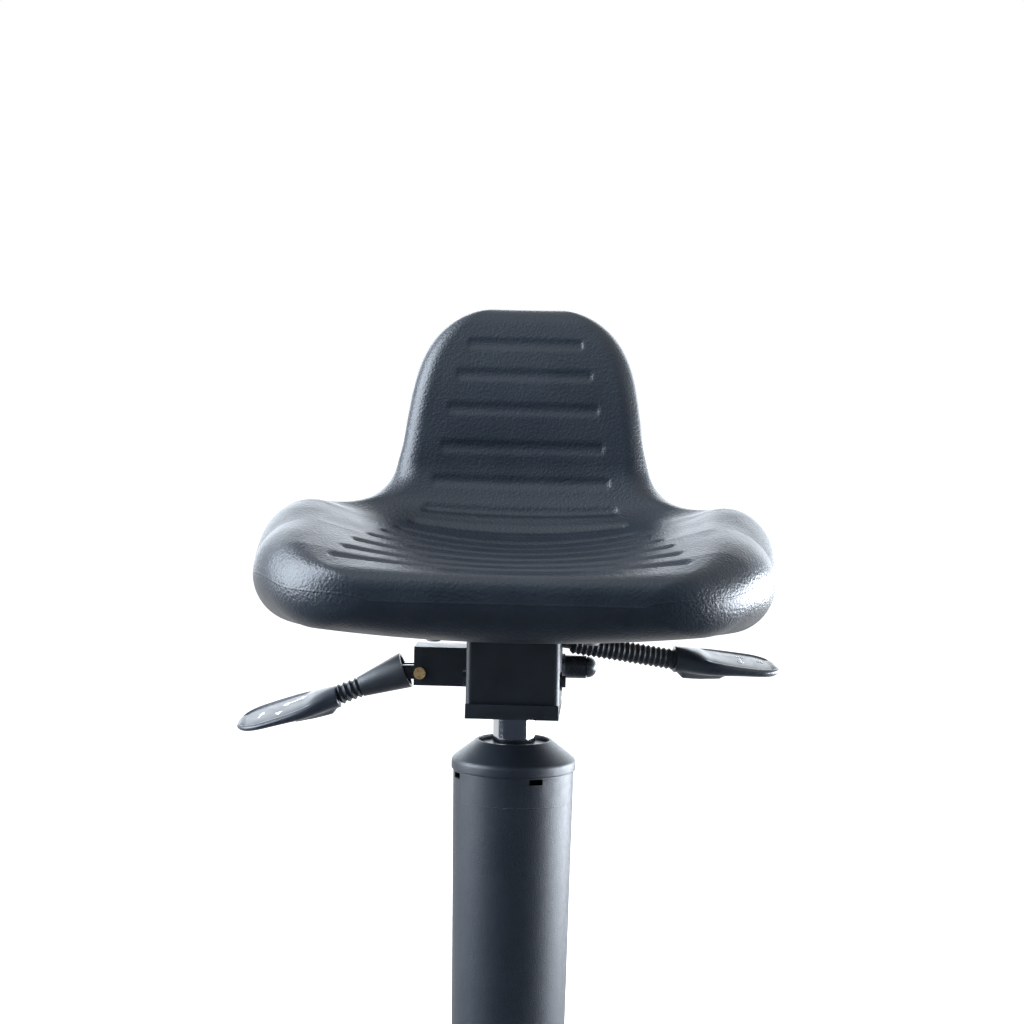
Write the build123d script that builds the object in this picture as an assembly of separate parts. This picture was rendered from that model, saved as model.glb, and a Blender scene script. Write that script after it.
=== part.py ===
from build123d import *
from math import asin, cos, degrees, pi, radians, sin, sqrt, tan
import os

# Sit-stand stool. Millimetres. The origin is on the column's axis at the floor, +Z is up,
# +Y points to the back of the seat and +X to the side of the height lever.

# Clearances that every piece shares
running_gap = 0.05
moving_gap = 0.3
overrun = 2.0
through_cut = 60.0

# Foot: five hollow legs round a hub
leg_count = 5
foot_radius = 290.0
hub_radius = 40.0
hub_height = 96.0
hub_underside = 34.0
hub_edge_radius = 4.0
spigot_height = 8.0
leg_root_width = 56.0
leg_tip_radius = 19.0
leg_root_drop = 6.0
leg_tip_height = 46.0
leg_tip_underside = 22.0
leg_root_underside = 36.0
leg_arch = 7.0
leg_wall = 4.0
leg_edge_radius = 6.0
leg_cell_count = 4
leg_rib = 3.5
leg_boss_radius = 13.0

# Glides
glide_radius = 24.0
glide_edge_height = 5.0
glide_edge_bevel = 1.5
glide_dome_height = 14.0
glide_neck_radius = 9.0
glide_stem_radius = 5.5
glide_stem_length = 18.0

# Standing tube of the gas column and what it holds
column_height = 450.0
column_radius = 25.0
column_wall = 2.0
column_taper = 1.0
rim_depth = 3.0
bush_length = 80.0
end_rise = 4.0
end_thickness = 4.0

# Cover tube and its cap
cover_top_radius = 40.0
cover_bottom_radius = 36.0
cover_wall = 1.9
cap_band_radius = 41.2
cap_band_top = 12.6
cap_band_foot = 19.4
cap_shoulder_bevel = 1.0
cap_rim_wall = 1.6
cap_rim_round = 0.7
cap_wall = 2.0
cap_spigot_length = 11.6
cap_spigot_wall = 1.8
hook_count = 4
hook_turn = -65.5
hook_width = 8.4
hook_height = 3.0
hook_drop = 1.5
hook_window_depth = 8.0
window_margin = 0.4

# Gas spring
lift_travel = 250.0
rod_radius = 5.0
bearing_radius = 12.0
bearing_height = 5.0
bump_radius = 11.0
bump_height = 12.0
clip_thickness = 1.5
clip_radius = 8.5
clip_mouth = 6.0
pressure_radius = 14.0
pressure_wall = 2.0
guide_length = 20.0
piston_height = 12.0
piston_spare = 5.0
cone_drop = 1.0
cone_top_rise = 55.0
tube_cap_length = 19.0
pin_radius = 3.0
pin_reach = 22.0
pin_dome = 0.8

# Column bracket, heights measured from the column's top
sheet = 2.5
bracket_width = 60.7
plate_rise = 19.5
plate_front = 44.0
plate_back = 38.0
socket_radius = 19.0
socket_length = 30.0
axle_rise = 43.5
axle_front = 30.0
axle_radius = 4.0
axle_nose_radius = 8.6
axle_head_radius = 5.2
axle_head = 2.0
axle_end = 3.5
axle_groove_depth = 0.8
axle_clip_thickness = 1.2
axle_clip_radius = 6.5
nose_slope = 14.0
cheek_top_rise = 70.0
cheek_shoulder_front = 14.0
cheek_back = 36.0
cheek_corner_radius = 8.0

# Tilt clamp
clamp_rise = 46.0
clamp_back = 26.0
clamp_rod_radius = 4.0
clamp_washer_radius = 9.0
clamp_washer_thickness = 1.0
clamp_box_length = 37.0
clamp_box_width = 26.0
clamp_box_height = 26.0
clamp_box_foot = 13.7
clamp_box_sheet = 2.5
clamp_bar_radius = 2.5
clamp_bar_half = 9.0
lever_pin_radius = 3.0
lever_pin_inset = 4.0
lever_pin_rise = 8.3
lever_pin_head_radius = 4.0
lever_pin_head = 1.6
lever_pin_tail = 1.5
cup_washer_thickness = 1.75
cup_radius = 7.75
cup_length = 14.1
cup_floor = 2.0
cup_wall = 1.2
spring_count = 5
spring_length = 9.0
spring_step = 0.9
spring_play = 0.3
nut_radius = 5.8
nut_spigot = 3.6
nut_edge = 2.6
nut_dome = 2.9

# Left lever, which works the tilt clamp
clamp_droop = 22.1
arm_offset = 4.2
tine_inner = 4.5
tine_outer = 8.0
tine_half_height = 5.0
tine_gap = 0.1
horn_height = 9.5
horn_thickness = 3.8
horn_floor = 0.8
horn_foot = 4.0
web_start = 11.0
web_length = 4.0
arm_radius = 4.0
arm_length = 84.0
boot_start = 9.6
boot_radius = 12.4
boot_small_radius = 6.9
boot_length = 32.6
boot_wall = 2.0
boot_hollow = 6.0
boot_hollow_taper = 0.6
neck_ring_count = 4
neck_ring_pitch = 4.05
neck_ring_radius = 7.1
neck_core_radius = 5.4
clamp_paddle_length = 72.0
clamp_paddle_root = 7.35
clamp_paddle_width = 38.0
clamp_paddle_rise = 3.8
clamp_paddle_roll = 17.0

# Right lever, which works the gas spring's valve
hinge_out = 20.0
lever_rise = 66.0
lever_rod_radius = 4.0
lever_inner_reach = 6.0
lever_bend_out = 30.0
lever_bend_radius = 12.0
lever_droop = 9.2
lever_sweep = 14.0
lever_rod_length = 118.0
hinge_pin_radius = 2.5
ear_gap = 0.5
ear_thickness = 2.5
ear_depth = 11.0
ear_foot = 8.0
ear_head = 4.5
ear_pin_stub = 1.0
sleeve_start = 7.3
sleeve_rib_count = 20
sleeve_rib_pitch = 3.6
sleeve_radius = 7.0
sleeve_core_radius = 5.7
height_paddle_length = 76.0
height_paddle_root = 9.0
height_paddle_width = 36.0
height_paddle_rise = 4.5
height_paddle_roll = 12.0

# Seat bracket: outer channel and flange, heights measured from the column's top
flange_rise = 75.0
flange_thickness = 3.0
flange_half_width = 64.0
flange_front = 68.0
flange_back = 60.0
flange_corner_radius = 14.0
wall_front = 42.0
wall_foot_rise = 25.0
outer_cheek_back = 44.0
outer_bend_radius = 4.0
outer_cheek_corner = 10.0
tilt_forward = 12.0
tilt_back = 2.0
slot_end_play = 0.5
lever_window_front = 7.0
lever_window_back = 11.0
lever_window_foot = 13.0
lever_window_head = 7.5
window_corner_radius = 4.0
bolt_out = 50.5
bolt_front = 54.0
bolt_back = 46.0
bolt_radius = 4.0
bolt_hole_play = 0.3
bolt_head_radius = 6.5
bolt_head_height = 4.4
bolt_head_round = 2.4
bolt_length = 17.0
hex_width = 5.0
hex_sides = 6
hex_depth = 2.6

# Board and threaded inserts in the foam's underside
board_half_width = 86.0
board_front = 85.0
board_back = 58.0
board_thickness = 8.0
board_corner_radius = 30.0
insert_radius = 5.0
insert_flange_radius = 9.5
insert_flange = 1.2
bolt_tip_play = 1.0

# Foam seat and back, heights measured from the column's top
seat_half_width = 169.0
seat_depth = 126.0
seat_thickness = 50.0
dish_depth = 20.0
front_reach = 146.0
crest_height = 122.5
seat_slope = 4.0
bend_radius = 60.0
back_angle = 82.0
back_run = 111.0
back_curve = 300.0
groove_half_width = 5.5
groove_depth = 1.8

# Ribs of the foam, front edge to top. Each row has the station as a share of the spine's length, then
# shares of the seat's thickness, half width and dish, the shoulder's share of the rib's thickness, and
# the drop of the rounded ends as a share of the seat's thickness.
foam_rib_shares = (
    (-0.0380, 0.150, 0.532, 0.134, 0.600, 0.268),
    (-0.0298, 0.397, 0.618, 0.194, 0.599, 0.172),
    (-0.0126, 0.609, 0.701, 0.293, 0.597, 0.092),
    (0.0126, 0.769, 0.774, 0.424, 0.593, 0.035),
    (0.0471, 0.873, 0.841, 0.571, 0.589, 0.004),
    (0.0941, 0.922, 0.903, 0.722, 0.582, 0.000),
    (0.1506, 0.977, 0.952, 0.793, 0.575, 0.000),
    (0.2197, 1.038, 0.986, 0.860, 0.564, 0.000),
    (0.2950, 1.108, 0.999, 0.923, 0.551, 0.000),
    (0.3703, 1.203, 1.000, 0.976, 0.538, 0.000),
    (0.4362, 1.365, 0.997, 1.000, 0.526, 0.000),
    (0.4832, 1.590, 0.972, 0.889, 0.514, 0.000),
    (0.5209, 1.743, 0.878, 0.665, 0.496, 0.000),
    (0.5554, 1.688, 0.716, 0.433, 0.480, 0.000),
    (0.5899, 1.387, 0.580, 0.271, 0.463, 0.000),
    (0.6276, 0.968, 0.509, 0.192, 0.463, 0.000),
    (0.6715, 0.689, 0.482, 0.166, 0.467, 0.000),
    (0.7280, 0.586, 0.467, 0.152, 0.473, 0.000),
    (0.7908, 0.553, 0.453, 0.138, 0.479, 0.000),
    (0.8472, 0.538, 0.442, 0.127, 0.485, 0.000),
    (0.8974, 0.530, 0.420, 0.114, 0.490, 0.000),
    (0.9382, 0.526, 0.381, 0.102, 0.494, 0.000),
    (0.9681, 0.476, 0.331, 0.091, 0.497, 0.023),
    (0.9869, 0.361, 0.276, 0.085, 0.499, 0.080),
    (0.9972, 0.218, 0.218, 0.081, 0.500, 0.151),
    (1.0007, 0.110, 0.176, 0.080, 0.500, 0.205),
)
lower_corner_share = 0.82

# Grooves across the foam, top to front: the station as a share of the spine's length and the half
# length as a share of the seat's half width.
groove_shares = (
    (0.910, 0.237),
    (0.839, 0.278),
    (0.764, 0.308),
    (0.686, 0.331),
    (0.612, 0.358),
    (0.543, 0.391),
    (0.474, 0.426),
    (0.405, 0.467),
    (0.334, 0.509),
    (0.264, 0.550),
    (0.191, 0.592),
    (0.124, 0.621),
    (0.060, 0.651),
)

# Paddle sections, root to tip: the station as a share of the length, then shares of half the width,
# of the root's radius above and below the edge line, and of the root's radius for the droop.
paddle_shares = (
    (0.00, 0.46, 0.92, 0.92, 0.00),
    (0.10, 0.58, 0.86, 0.90, 0.00),
    (0.28, 0.84, 0.60, 0.84, 0.02),
    (0.50, 1.00, 0.36, 0.66, 0.06),
    (0.72, 0.96, 0.24, 0.50, 0.14),
    (0.90, 0.72, 0.18, 0.36, 0.24),
    (0.98, 0.40, 0.12, 0.22, 0.30),
    (1.00, 0.18, 0.06, 0.10, 0.33),
)
keel_shares = ((0.06, 0.70), (0.08, 1.12), (0.46, 0.92), (0.56, 0.46))
keel_half_width_share = 0.17

# Heights and places that follow from the sizes above
tube_foot = hub_underside
hub_top = hub_height + spigot_height
tube_top = column_height - rim_depth
end_foot = tube_foot + end_rise
end_top = end_foot + end_thickness
bearing_foot = end_top + running_gap
bump_foot = bearing_foot + bearing_height
bump_top = bump_foot + bump_height
pressure_foot = bump_top + moving_gap
pressure_bore = pressure_radius - pressure_wall
cone_foot = column_height + plate_rise
cone_top = column_height + cone_top_rise
piston_foot = pressure_foot + guide_length + lift_travel + piston_spare
rod_top = piston_foot + piston_height
pin_top = column_height + lever_rise - lever_rod_radius - running_gap
plate_top = cone_foot + sheet
axle_point = (-axle_front, column_height + axle_rise)
clamp_point = (clamp_back, column_height + clamp_rise)
outer_half = bracket_width / 2
inner_half = outer_half - sheet - moving_gap
flange_foot = column_height + flange_rise
flange_top = flange_foot + flange_thickness
washer_face = outer_half + moving_gap
box_right = -(washer_face + clamp_washer_thickness)
box_left = box_right - clamp_box_length
box_foot = column_height + clamp_rise - clamp_box_foot
lever_pin_x = box_left + lever_pin_inset
lever_pin_z = box_foot + lever_pin_rise
hinge_z = column_height + lever_rise
bend_turn = radians(back_angle - seat_slope)
spine_length = seat_depth + bend_radius * bend_turn + back_run


def ring(outer, inner, foot, height):
    """Plain ring on the column's axis."""
    return Pos(0, 0, foot + height / 2) * (Cylinder(outer, height) - Cylinder(inner, height))


def turned(points):
    """Solid of revolution about Z from (radius, height) points."""
    return revolve(make_face(Plane.XZ * Polyline(*points, close=True)), Axis.Z)


def side_cut(outline, low, high):
    """Block along X between two places, from an outline in (y, z)."""
    return extrude(Plane.YZ.offset(low) * outline, high - low)


def cross_pin(radius, centre, low, high):
    """Round pin along X at a (y, z) centre."""
    return Pos((low + high) / 2, centre[0], centre[1]) * Rot(0, 90, 0) * Cylinder(radius, high - low)


# Foot

def leg_side(top_drop, foot_drop, leg_end):
    """Side view of a leg: two shallow arches joined at the tip."""
    top = (hub_height - leg_root_drop - top_drop, leg_tip_height - top_drop)
    foot = (leg_root_underside - foot_drop, leg_tip_underside - foot_drop)
    middle = leg_end / 2
    edges = [
        ThreePointArc((0, top[0]), (middle, sum(top) / 2 + leg_arch), (leg_end, top[1])),
        Line((leg_end, top[1]), (leg_end, foot[1])),
        ThreePointArc((leg_end, foot[1]), (middle, sum(foot) / 2 + leg_arch), (0, foot[0])),
        Line((0, foot[0]), (0, top[0])),
    ]
    return make_face(Plane.XZ * Wire(edges))


def leg_plan(inset):
    """Plan of a leg: tapered, with a round tip."""
    root = leg_root_width / 2 - inset
    tip = leg_tip_radius - inset
    return make_face(Polyline((0, -root), (foot_radius, -tip), (foot_radius, tip), (0, root), close=True)) \
        + Pos(foot_radius, 0) * Circle(tip)


def leg():
    """One leg with its four open cells below and the glide's bore in the tip."""
    end = foot_radius + leg_tip_radius
    body = extrude(leg_side(0, 0, end), leg_root_width, both=True)
    body &= extrude(leg_plan(0), hub_height + overrun)
    rim = [e for e in body.edges()
           if e.center().Z > leg_tip_height and abs(e.center().Y) > leg_tip_radius / 2]
    body = fillet(rim, leg_edge_radius)
    hollow = extrude(leg_side(leg_wall, leg_wall + overrun, end), leg_root_width, both=True)
    hollow &= extrude(leg_plan(leg_wall), hub_height)
    start = hub_radius + leg_wall
    stop = foot_radius - leg_boss_radius
    cell = (stop - start + leg_rib) / leg_cell_count - leg_rib
    for index in range(leg_cell_count):
        middle = start + cell / 2 + index * (cell + leg_rib)
        body -= hollow & (Pos(middle, 0, hub_height / 2) * Box(cell, leg_root_width, hub_height * 2))
    bore = glide_stem_length + running_gap + overrun
    foot = leg_tip_underside - overrun
    return body - Pos(foot_radius, 0, foot + bore / 2) * Cylinder(glide_stem_radius + running_gap, bore)


def star_base():
    tube_end = column_radius - column_taper + running_gap
    tube_neck = column_radius + running_gap
    spigot = cover_bottom_radius - cover_wall - running_gap
    hub = turned([
        (0, hub_underside), (hub_radius, hub_underside),
        (hub_radius, hub_height - hub_edge_radius), (hub_radius - hub_edge_radius, hub_height),
        (spigot, hub_height), (spigot, hub_top), (0, hub_top)])
    one_leg = leg()
    for index in range(leg_count):
        hub += Rot(0, 0, 360 * index / leg_count - 90) * one_leg
    slope = column_taper / (hub_top - tube_foot)
    return hub - turned([
        (0, tube_foot - overrun), (tube_end - slope * overrun, tube_foot - overrun),
        (tube_neck + slope * overrun, hub_top + overrun), (0, hub_top + overrun)])


def base_glides():
    glide = turned([
        (0, 0), (glide_radius - glide_edge_bevel, 0), (glide_radius, glide_edge_bevel),
        (glide_radius, glide_edge_height), (glide_neck_radius, glide_dome_height),
        (glide_neck_radius, leg_tip_underside), (glide_stem_radius, leg_tip_underside),
        (glide_stem_radius, leg_tip_underside + glide_stem_length),
        (0, leg_tip_underside + glide_stem_length)])
    return [Rot(0, 0, 360 * index / leg_count - 90) * Pos(foot_radius, 0, 0) * glide
            for index in range(leg_count)]


# Column

def column_tube():
    foot_radius_here = column_radius - column_taper
    return turned([
        (foot_radius_here, tube_foot), (column_radius, hub_top), (column_radius, tube_top),
        (column_radius - column_wall, tube_top), (column_radius - column_wall, hub_top),
        (foot_radius_here - column_wall, tube_foot)])


def column_end():
    outer = column_radius - column_taper - column_wall
    return ring(outer, rod_radius + running_gap, end_foot, end_thickness)


def guide_bush():
    outer = column_radius - column_wall - running_gap
    return ring(outer, pressure_radius + running_gap, tube_top - bush_length, bush_length)


def hook_places():
    return [Rot(0, 0, hook_turn - 90 + 360 * index / hook_count) for index in range(hook_count)]


def cover_tube():
    top = column_height - cap_band_foot
    tube = turned([
        (cover_bottom_radius, hub_height), (cover_top_radius, top), (cover_top_radius - cover_wall, top),
        (cover_bottom_radius - cover_wall, hub_height)])
    height = hook_height + 2 * window_margin
    middle = top - hook_drop - hook_height / 2
    window = Box(hook_window_depth, hook_width + 2 * window_margin, height)
    for place in hook_places():
        tube -= place * Pos(cover_top_radius, 0, middle) * window
    return tube


def cover_cap():
    top = column_height
    bore = column_radius - cap_rim_wall
    spigot = cover_top_radius - cover_wall - running_gap
    spigot_bore = spigot - cap_spigot_wall
    draft = (cover_top_radius - cover_bottom_radius) / (top - cap_band_foot - hub_height)
    spigot_end = spigot - draft * cap_spigot_length
    band_top = top - cap_band_top
    band_foot = top - cap_band_foot
    fall = (cap_band_top - cap_shoulder_bevel) / (cap_band_radius - cap_shoulder_bevel - column_radius)
    under = band_top + fall * (cap_band_radius - spigot_bore) - cap_wall * sqrt(1 + fall * fall)
    cap = turned([
        (bore, tube_top), (bore, top - cap_rim_round), (bore + cap_rim_round, top), (column_radius, top),
        (cap_band_radius - cap_shoulder_bevel, band_top + cap_shoulder_bevel),
        (cap_band_radius, band_top), (cap_band_radius, band_foot), (spigot, band_foot),
        (spigot_end, band_foot - cap_spigot_length), (spigot_bore, band_foot - cap_spigot_length),
        (spigot_bore, under), (column_radius, tube_top)])
    reach = cover_top_radius - spigot_bore - window_margin
    hook = Box(reach, hook_width, hook_height)
    for place in hook_places():
        cap += place * Pos(spigot_bore + reach / 2, 0, band_foot - hook_drop - hook_height / 2) * hook
    return cap


# Gas spring

def cone_radius(height):
    """Outer radius of the pressure tube's cone at a height."""
    return pressure_radius - cone_drop * (height - cone_foot) / (cone_top - cone_foot)


def pressure_tube():
    cavity_top = cone_top - tube_cap_length - overrun
    bore = pin_radius + running_gap
    return turned([
        (pressure_bore, pressure_foot), (pressure_radius, pressure_foot), (pressure_radius, cone_foot),
        (cone_radius(cone_top), cone_top), (bore, cone_top), (bore, cone_top - tube_cap_length),
        (0, cone_top - tube_cap_length), (0, cavity_top), (pressure_bore, cavity_top)])


def rod_guide():
    return ring(pressure_bore - running_gap, rod_radius + running_gap, pressure_foot, guide_length)


def piston_rod():
    foot = tube_foot + running_gap
    return Pos(0, 0, (foot + rod_top) / 2) * Cylinder(rod_radius, rod_top - foot)


def piston_head():
    return ring(pressure_bore - running_gap, rod_radius + running_gap, piston_foot, piston_height)


def thrust_bearing():
    return ring(bearing_radius, rod_radius + running_gap, bearing_foot, bearing_height)


def bump_stop():
    return ring(bump_radius, rod_radius + running_gap, bump_foot, bump_height)


def rod_clip():
    clip = ring(clip_radius, rod_radius + running_gap, end_foot - moving_gap - clip_thickness,
                clip_thickness)
    return clip - Pos(clip_radius, 0, end_foot) * Box(clip_radius * 2, clip_mouth, end_rise * 2)


def release_pin():
    foot = pin_top - pin_reach
    return turned([(0, foot), (pin_radius, foot), (pin_radius, pin_top - pin_dome), (0, pin_top)])


# Column bracket

def cone_socket():
    top = plate_top + socket_length
    return turned([
        (cone_radius(plate_top) + running_gap, plate_top), (socket_radius, plate_top),
        (socket_radius, top), (cone_radius(top) + running_gap, top)])


def inner_cheek_outline():
    """Round nose round the axle, cut back below it for the seat's forward tilt."""
    y, z = axle_point
    turn = radians(nose_slope)
    low = (y - axle_nose_radius * cos(turn), z - axle_nose_radius * sin(turn))
    foot = (low[0] + (low[1] - plate_top) * tan(turn), plate_top)
    shoulder = (-cheek_shoulder_front, column_height + cheek_top_rise)
    plate = make_face(Polyline(
        foot, low, (y, z + axle_nose_radius), shoulder, (cheek_back, shoulder[1]),
        (cheek_back, plate_top), close=True))
    corner = plate.vertices().sort_by(Axis.Y)[-2:].sort_by(Axis.X)[-1:]
    return fillet(corner, cheek_corner_radius) + Pos(y, z) * Circle(axle_nose_radius)


def column_bracket():
    plate = Pos(0, (plate_back - plate_front) / 2, cone_foot + sheet / 2) \
        * Box(bracket_width, plate_front + plate_back, sheet)
    plate -= Pos(0, 0, cone_foot) * Cylinder(pressure_radius + running_gap, through_cut)
    outline = inner_cheek_outline()
    outline -= Pos(*axle_point) * Circle(axle_radius + running_gap)
    outline -= Pos(*clamp_point) * Circle(clamp_rod_radius + running_gap)
    left = side_cut(outline, -inner_half, sheet - inner_half)
    slot = 2 * (lever_rod_radius + 2 * moving_gap)
    head = cheek_top_rise + overrun - (lever_rise - lever_rod_radius - overrun)
    window = Pos(0, hinge_z - lever_rod_radius - overrun + head / 2) * Rectangle(slot, head)
    right = side_cut(outline - window, inner_half - sheet, inner_half)
    return plate + left + right


def tilt_axle():
    low = -(outer_half + moving_gap)
    high = outer_half + moving_gap + axle_end
    axle = cross_pin(axle_radius, axle_point, low, high)
    axle += cross_pin(axle_head_radius, axle_point, low - axle_head, low)
    groove = cross_pin(axle_head_radius, axle_point, washer_face, washer_face + axle_clip_thickness)
    groove -= cross_pin(axle_radius - axle_groove_depth, axle_point, low, high)
    return axle - groove


def axle_clip():
    high = washer_face + axle_clip_thickness
    clip = cross_pin(axle_clip_radius, axle_point, washer_face, high)
    clip -= cross_pin(axle_radius - axle_groove_depth + running_gap, axle_point, 0, high + overrun)
    mouth = 2 * (axle_radius - axle_groove_depth)
    cut = Pos(*axle_point) * Pos(0, -axle_clip_radius) * Rectangle(mouth, 2 * axle_clip_radius)
    return clip - side_cut(cut, 0, high + overrun)


def lever_hinge():
    """Two ears inside the right cheek with the height lever's pin through them."""
    inner = lever_rod_radius + ear_gap + running_gap
    outer = inner + ear_thickness
    face = inner_half - sheet
    foot = hinge_z - ear_foot
    height = ear_foot + ear_head
    piece = Cylinder(hinge_pin_radius, 2 * (outer + ear_pin_stub), rotation=(90, 0, 0))
    piece = Pos(hinge_out, 0, hinge_z) * piece
    for side in (-1, 1):
        middle = side * (inner + outer) / 2
        piece += Pos(face - ear_depth / 2, middle, foot + height / 2) * Box(ear_depth, ear_thickness, height)
    return piece


# Tilt clamp

def clamp_box():
    """Folded housing, open below and at the lever's end."""
    body = Box(clamp_box_length, clamp_box_width, clamp_box_height)
    hollow = Box(clamp_box_length, clamp_box_width - 2 * clamp_box_sheet, clamp_box_height)
    body -= Pos(-clamp_box_sheet, 0, -clamp_box_sheet) * hollow
    body = Pos((box_left + box_right) / 2, clamp_back, box_foot + clamp_box_height / 2) * body
    body -= cross_pin(clamp_rod_radius + running_gap, clamp_point, box_left, box_right + overrun)
    pin = Cylinder(lever_pin_radius + running_gap, clamp_box_width + 2 * overrun, rotation=(90, 0, 0))
    return body - Pos(lever_pin_x, clamp_back, lever_pin_z) * pin


def box_washer():
    washer = cross_pin(clamp_washer_radius, clamp_point, box_right, -washer_face)
    return washer - cross_pin(clamp_rod_radius + running_gap, clamp_point, box_right, 0)


def lever_pin():
    front = clamp_back - clamp_box_width / 2
    back = clamp_back + clamp_box_width / 2 + lever_pin_tail
    place = Pos(lever_pin_x, 0, lever_pin_z) * Rot(90, 0, 0)
    pin = place * Pos(0, 0, -(front + back) / 2) * Cylinder(lever_pin_radius, back - front)
    head = Cylinder(lever_pin_head_radius, lever_pin_head)
    return pin + place * Pos(0, 0, lever_pin_head / 2 - front) * head


def clamp_rod():
    bar_x = lever_pin_x + horn_reach() - tine_gap - clamp_bar_radius
    end = washer_face + cup_washer_thickness + cup_length + nut_edge
    rod = cross_pin(clamp_rod_radius, clamp_point, bar_x, end)
    bar = Cylinder(clamp_bar_radius, 2 * clamp_bar_half, rotation=(90, 0, 0))
    return rod + Pos(bar_x, *clamp_point) * bar


def cup_washer():
    washer = cross_pin(clamp_washer_radius, clamp_point, washer_face, washer_face + cup_washer_thickness)
    return washer - cross_pin(clamp_rod_radius + running_gap, clamp_point, 0, washer_face + overrun)


def along_clamp(profile, start):
    """Turned piece on the clamp rod's line, growing to the right from a place."""
    return Pos(start, *clamp_point) * Rot(0, 90, 0) * turned(profile)


def spring_cup():
    bore = clamp_rod_radius + running_gap
    inside = cup_radius - cup_wall
    return along_clamp([
        (bore, 0), (cup_radius, 0), (cup_radius, cup_length), (inside, cup_length),
        (inside, cup_floor), (bore, cup_floor)], washer_face + cup_washer_thickness)


def disc_springs():
    """Five conical discs, nested rim to rim, as one zigzag ring."""
    inner = clamp_rod_radius + running_gap
    outer = cup_radius - cup_wall - spring_play
    pitch = spring_length / spring_count
    near = [(inner if index % 2 else outer - spring_step, index * pitch)
            for index in range(spring_count + 1)]
    far = [(radius + spring_step, height) for radius, height in reversed(near)]
    return along_clamp(near + far, washer_face + cup_washer_thickness + cup_floor)


def dome_nut():
    """Nut with a domed end, whose spigot reaches into the cup and bears on the springs."""
    start = washer_face + cup_washer_thickness + cup_floor + spring_length
    face = washer_face + cup_washer_thickness + cup_length + moving_gap * 2 - start
    bore = clamp_rod_radius + running_gap
    depth = washer_face + cup_washer_thickness + cup_length + nut_edge + running_gap - start
    spigot = cup_radius - cup_wall - spring_play
    sphere = (nut_radius ** 2 + nut_dome ** 2) / (2 * nut_dome)
    turn = asin(nut_radius / sphere) / 2
    top = face + nut_edge + nut_dome
    middle = (sphere * sin(turn), top - sphere * (1 - cos(turn)))
    outline = Wire([
        Line((0, depth), (bore, depth)), Line((bore, depth), (bore, 0)), Line((bore, 0), (spigot, 0)),
        Line((spigot, 0), (spigot, nut_spigot - moving_gap)),
        Line((spigot, nut_spigot - moving_gap), (nut_radius, nut_spigot - moving_gap)),
        Line((nut_radius, nut_spigot - moving_gap), (nut_radius, face + nut_edge)),
        ThreePointArc((nut_radius, face + nut_edge), middle, (0, top)),
        Line((0, top), (0, depth))])
    solid = revolve(make_face(Plane.XZ * outline), Axis.Z)
    return Pos(start, *clamp_point) * Rot(0, 90, 0) * solid


# Levers

def ribbed(core, crest, pitch, count, bore, foot=0.0):
    """Sleeve with V-shaped ribs, along Z."""
    points = [(bore, foot), (core, foot)]
    for index in range(count):
        points += [(crest, foot + (index + 1 / 2) * pitch), (core, foot + (index + 1) * pitch)]
    return turned(points + [(bore, foot + count * pitch)])


def paddle(length, root, width):
    """Leaf-shaped hand paddle, along Z from its round root, with +Y up."""
    sections = []
    for station, half_share, above_share, below_share, droop_share in paddle_shares:
        half, drop = half_share * width / 2, droop_share * root
        top = (0, min(above_share * root, half) - drop)
        bottom = (0, -min(below_share * root, half) - drop)
        wire = Wire([ThreePointArc((-half, -drop), top, (half, -drop)),
                     ThreePointArc((half, -drop), bottom, (-half, -drop))])
        sections.append(Plane.XY.offset(station * length) * wire)
    leaf = Solid.make_loft(sections)
    keel = make_face(Polyline(*[(-depth * root, station * length) for station, depth in keel_shares],
                              close=True))
    keel = extrude(Plane.YZ * keel, keel_half_width_share * width, both=True)
    return leaf + keel


def rod_bore(radius, start, end):
    """Cutting tool for the hole that a lever's rod ends in."""
    return Pos(0, 0, (start + end) / 2) * Cylinder(radius + running_gap, end - start + 2 * overrun)


def lever_line(start, across, sweep_turn, droop_turn, roll=0.0):
    """Frame whose Z runs out along a lever and whose Y is its upper side."""
    droop = radians(droop_turn)
    sweep = radians(sweep_turn)
    out = Vector(across * cos(droop) * cos(sweep), cos(droop) * sin(sweep), -sin(droop))
    side = Vector(0, 0, 1).cross(out).normalized()
    frame = Plane(origin=start, x_dir=side, z_dir=out)
    return frame.rotated((0, 0, roll))


def horn_reach():
    """Distance from the lever pin to the face that pulls the clamp bar."""
    return lever_pin_inset + clamp_box_sheet + clamp_bar_radius + tine_gap + running_gap


def clamp_line():
    """Line of the arm, which runs a little above the lever's pin."""
    pin = lever_line((lever_pin_x, clamp_back, lever_pin_z), -1, 0, clamp_droop)
    return pin * Pos(0, arm_offset, 0)


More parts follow.
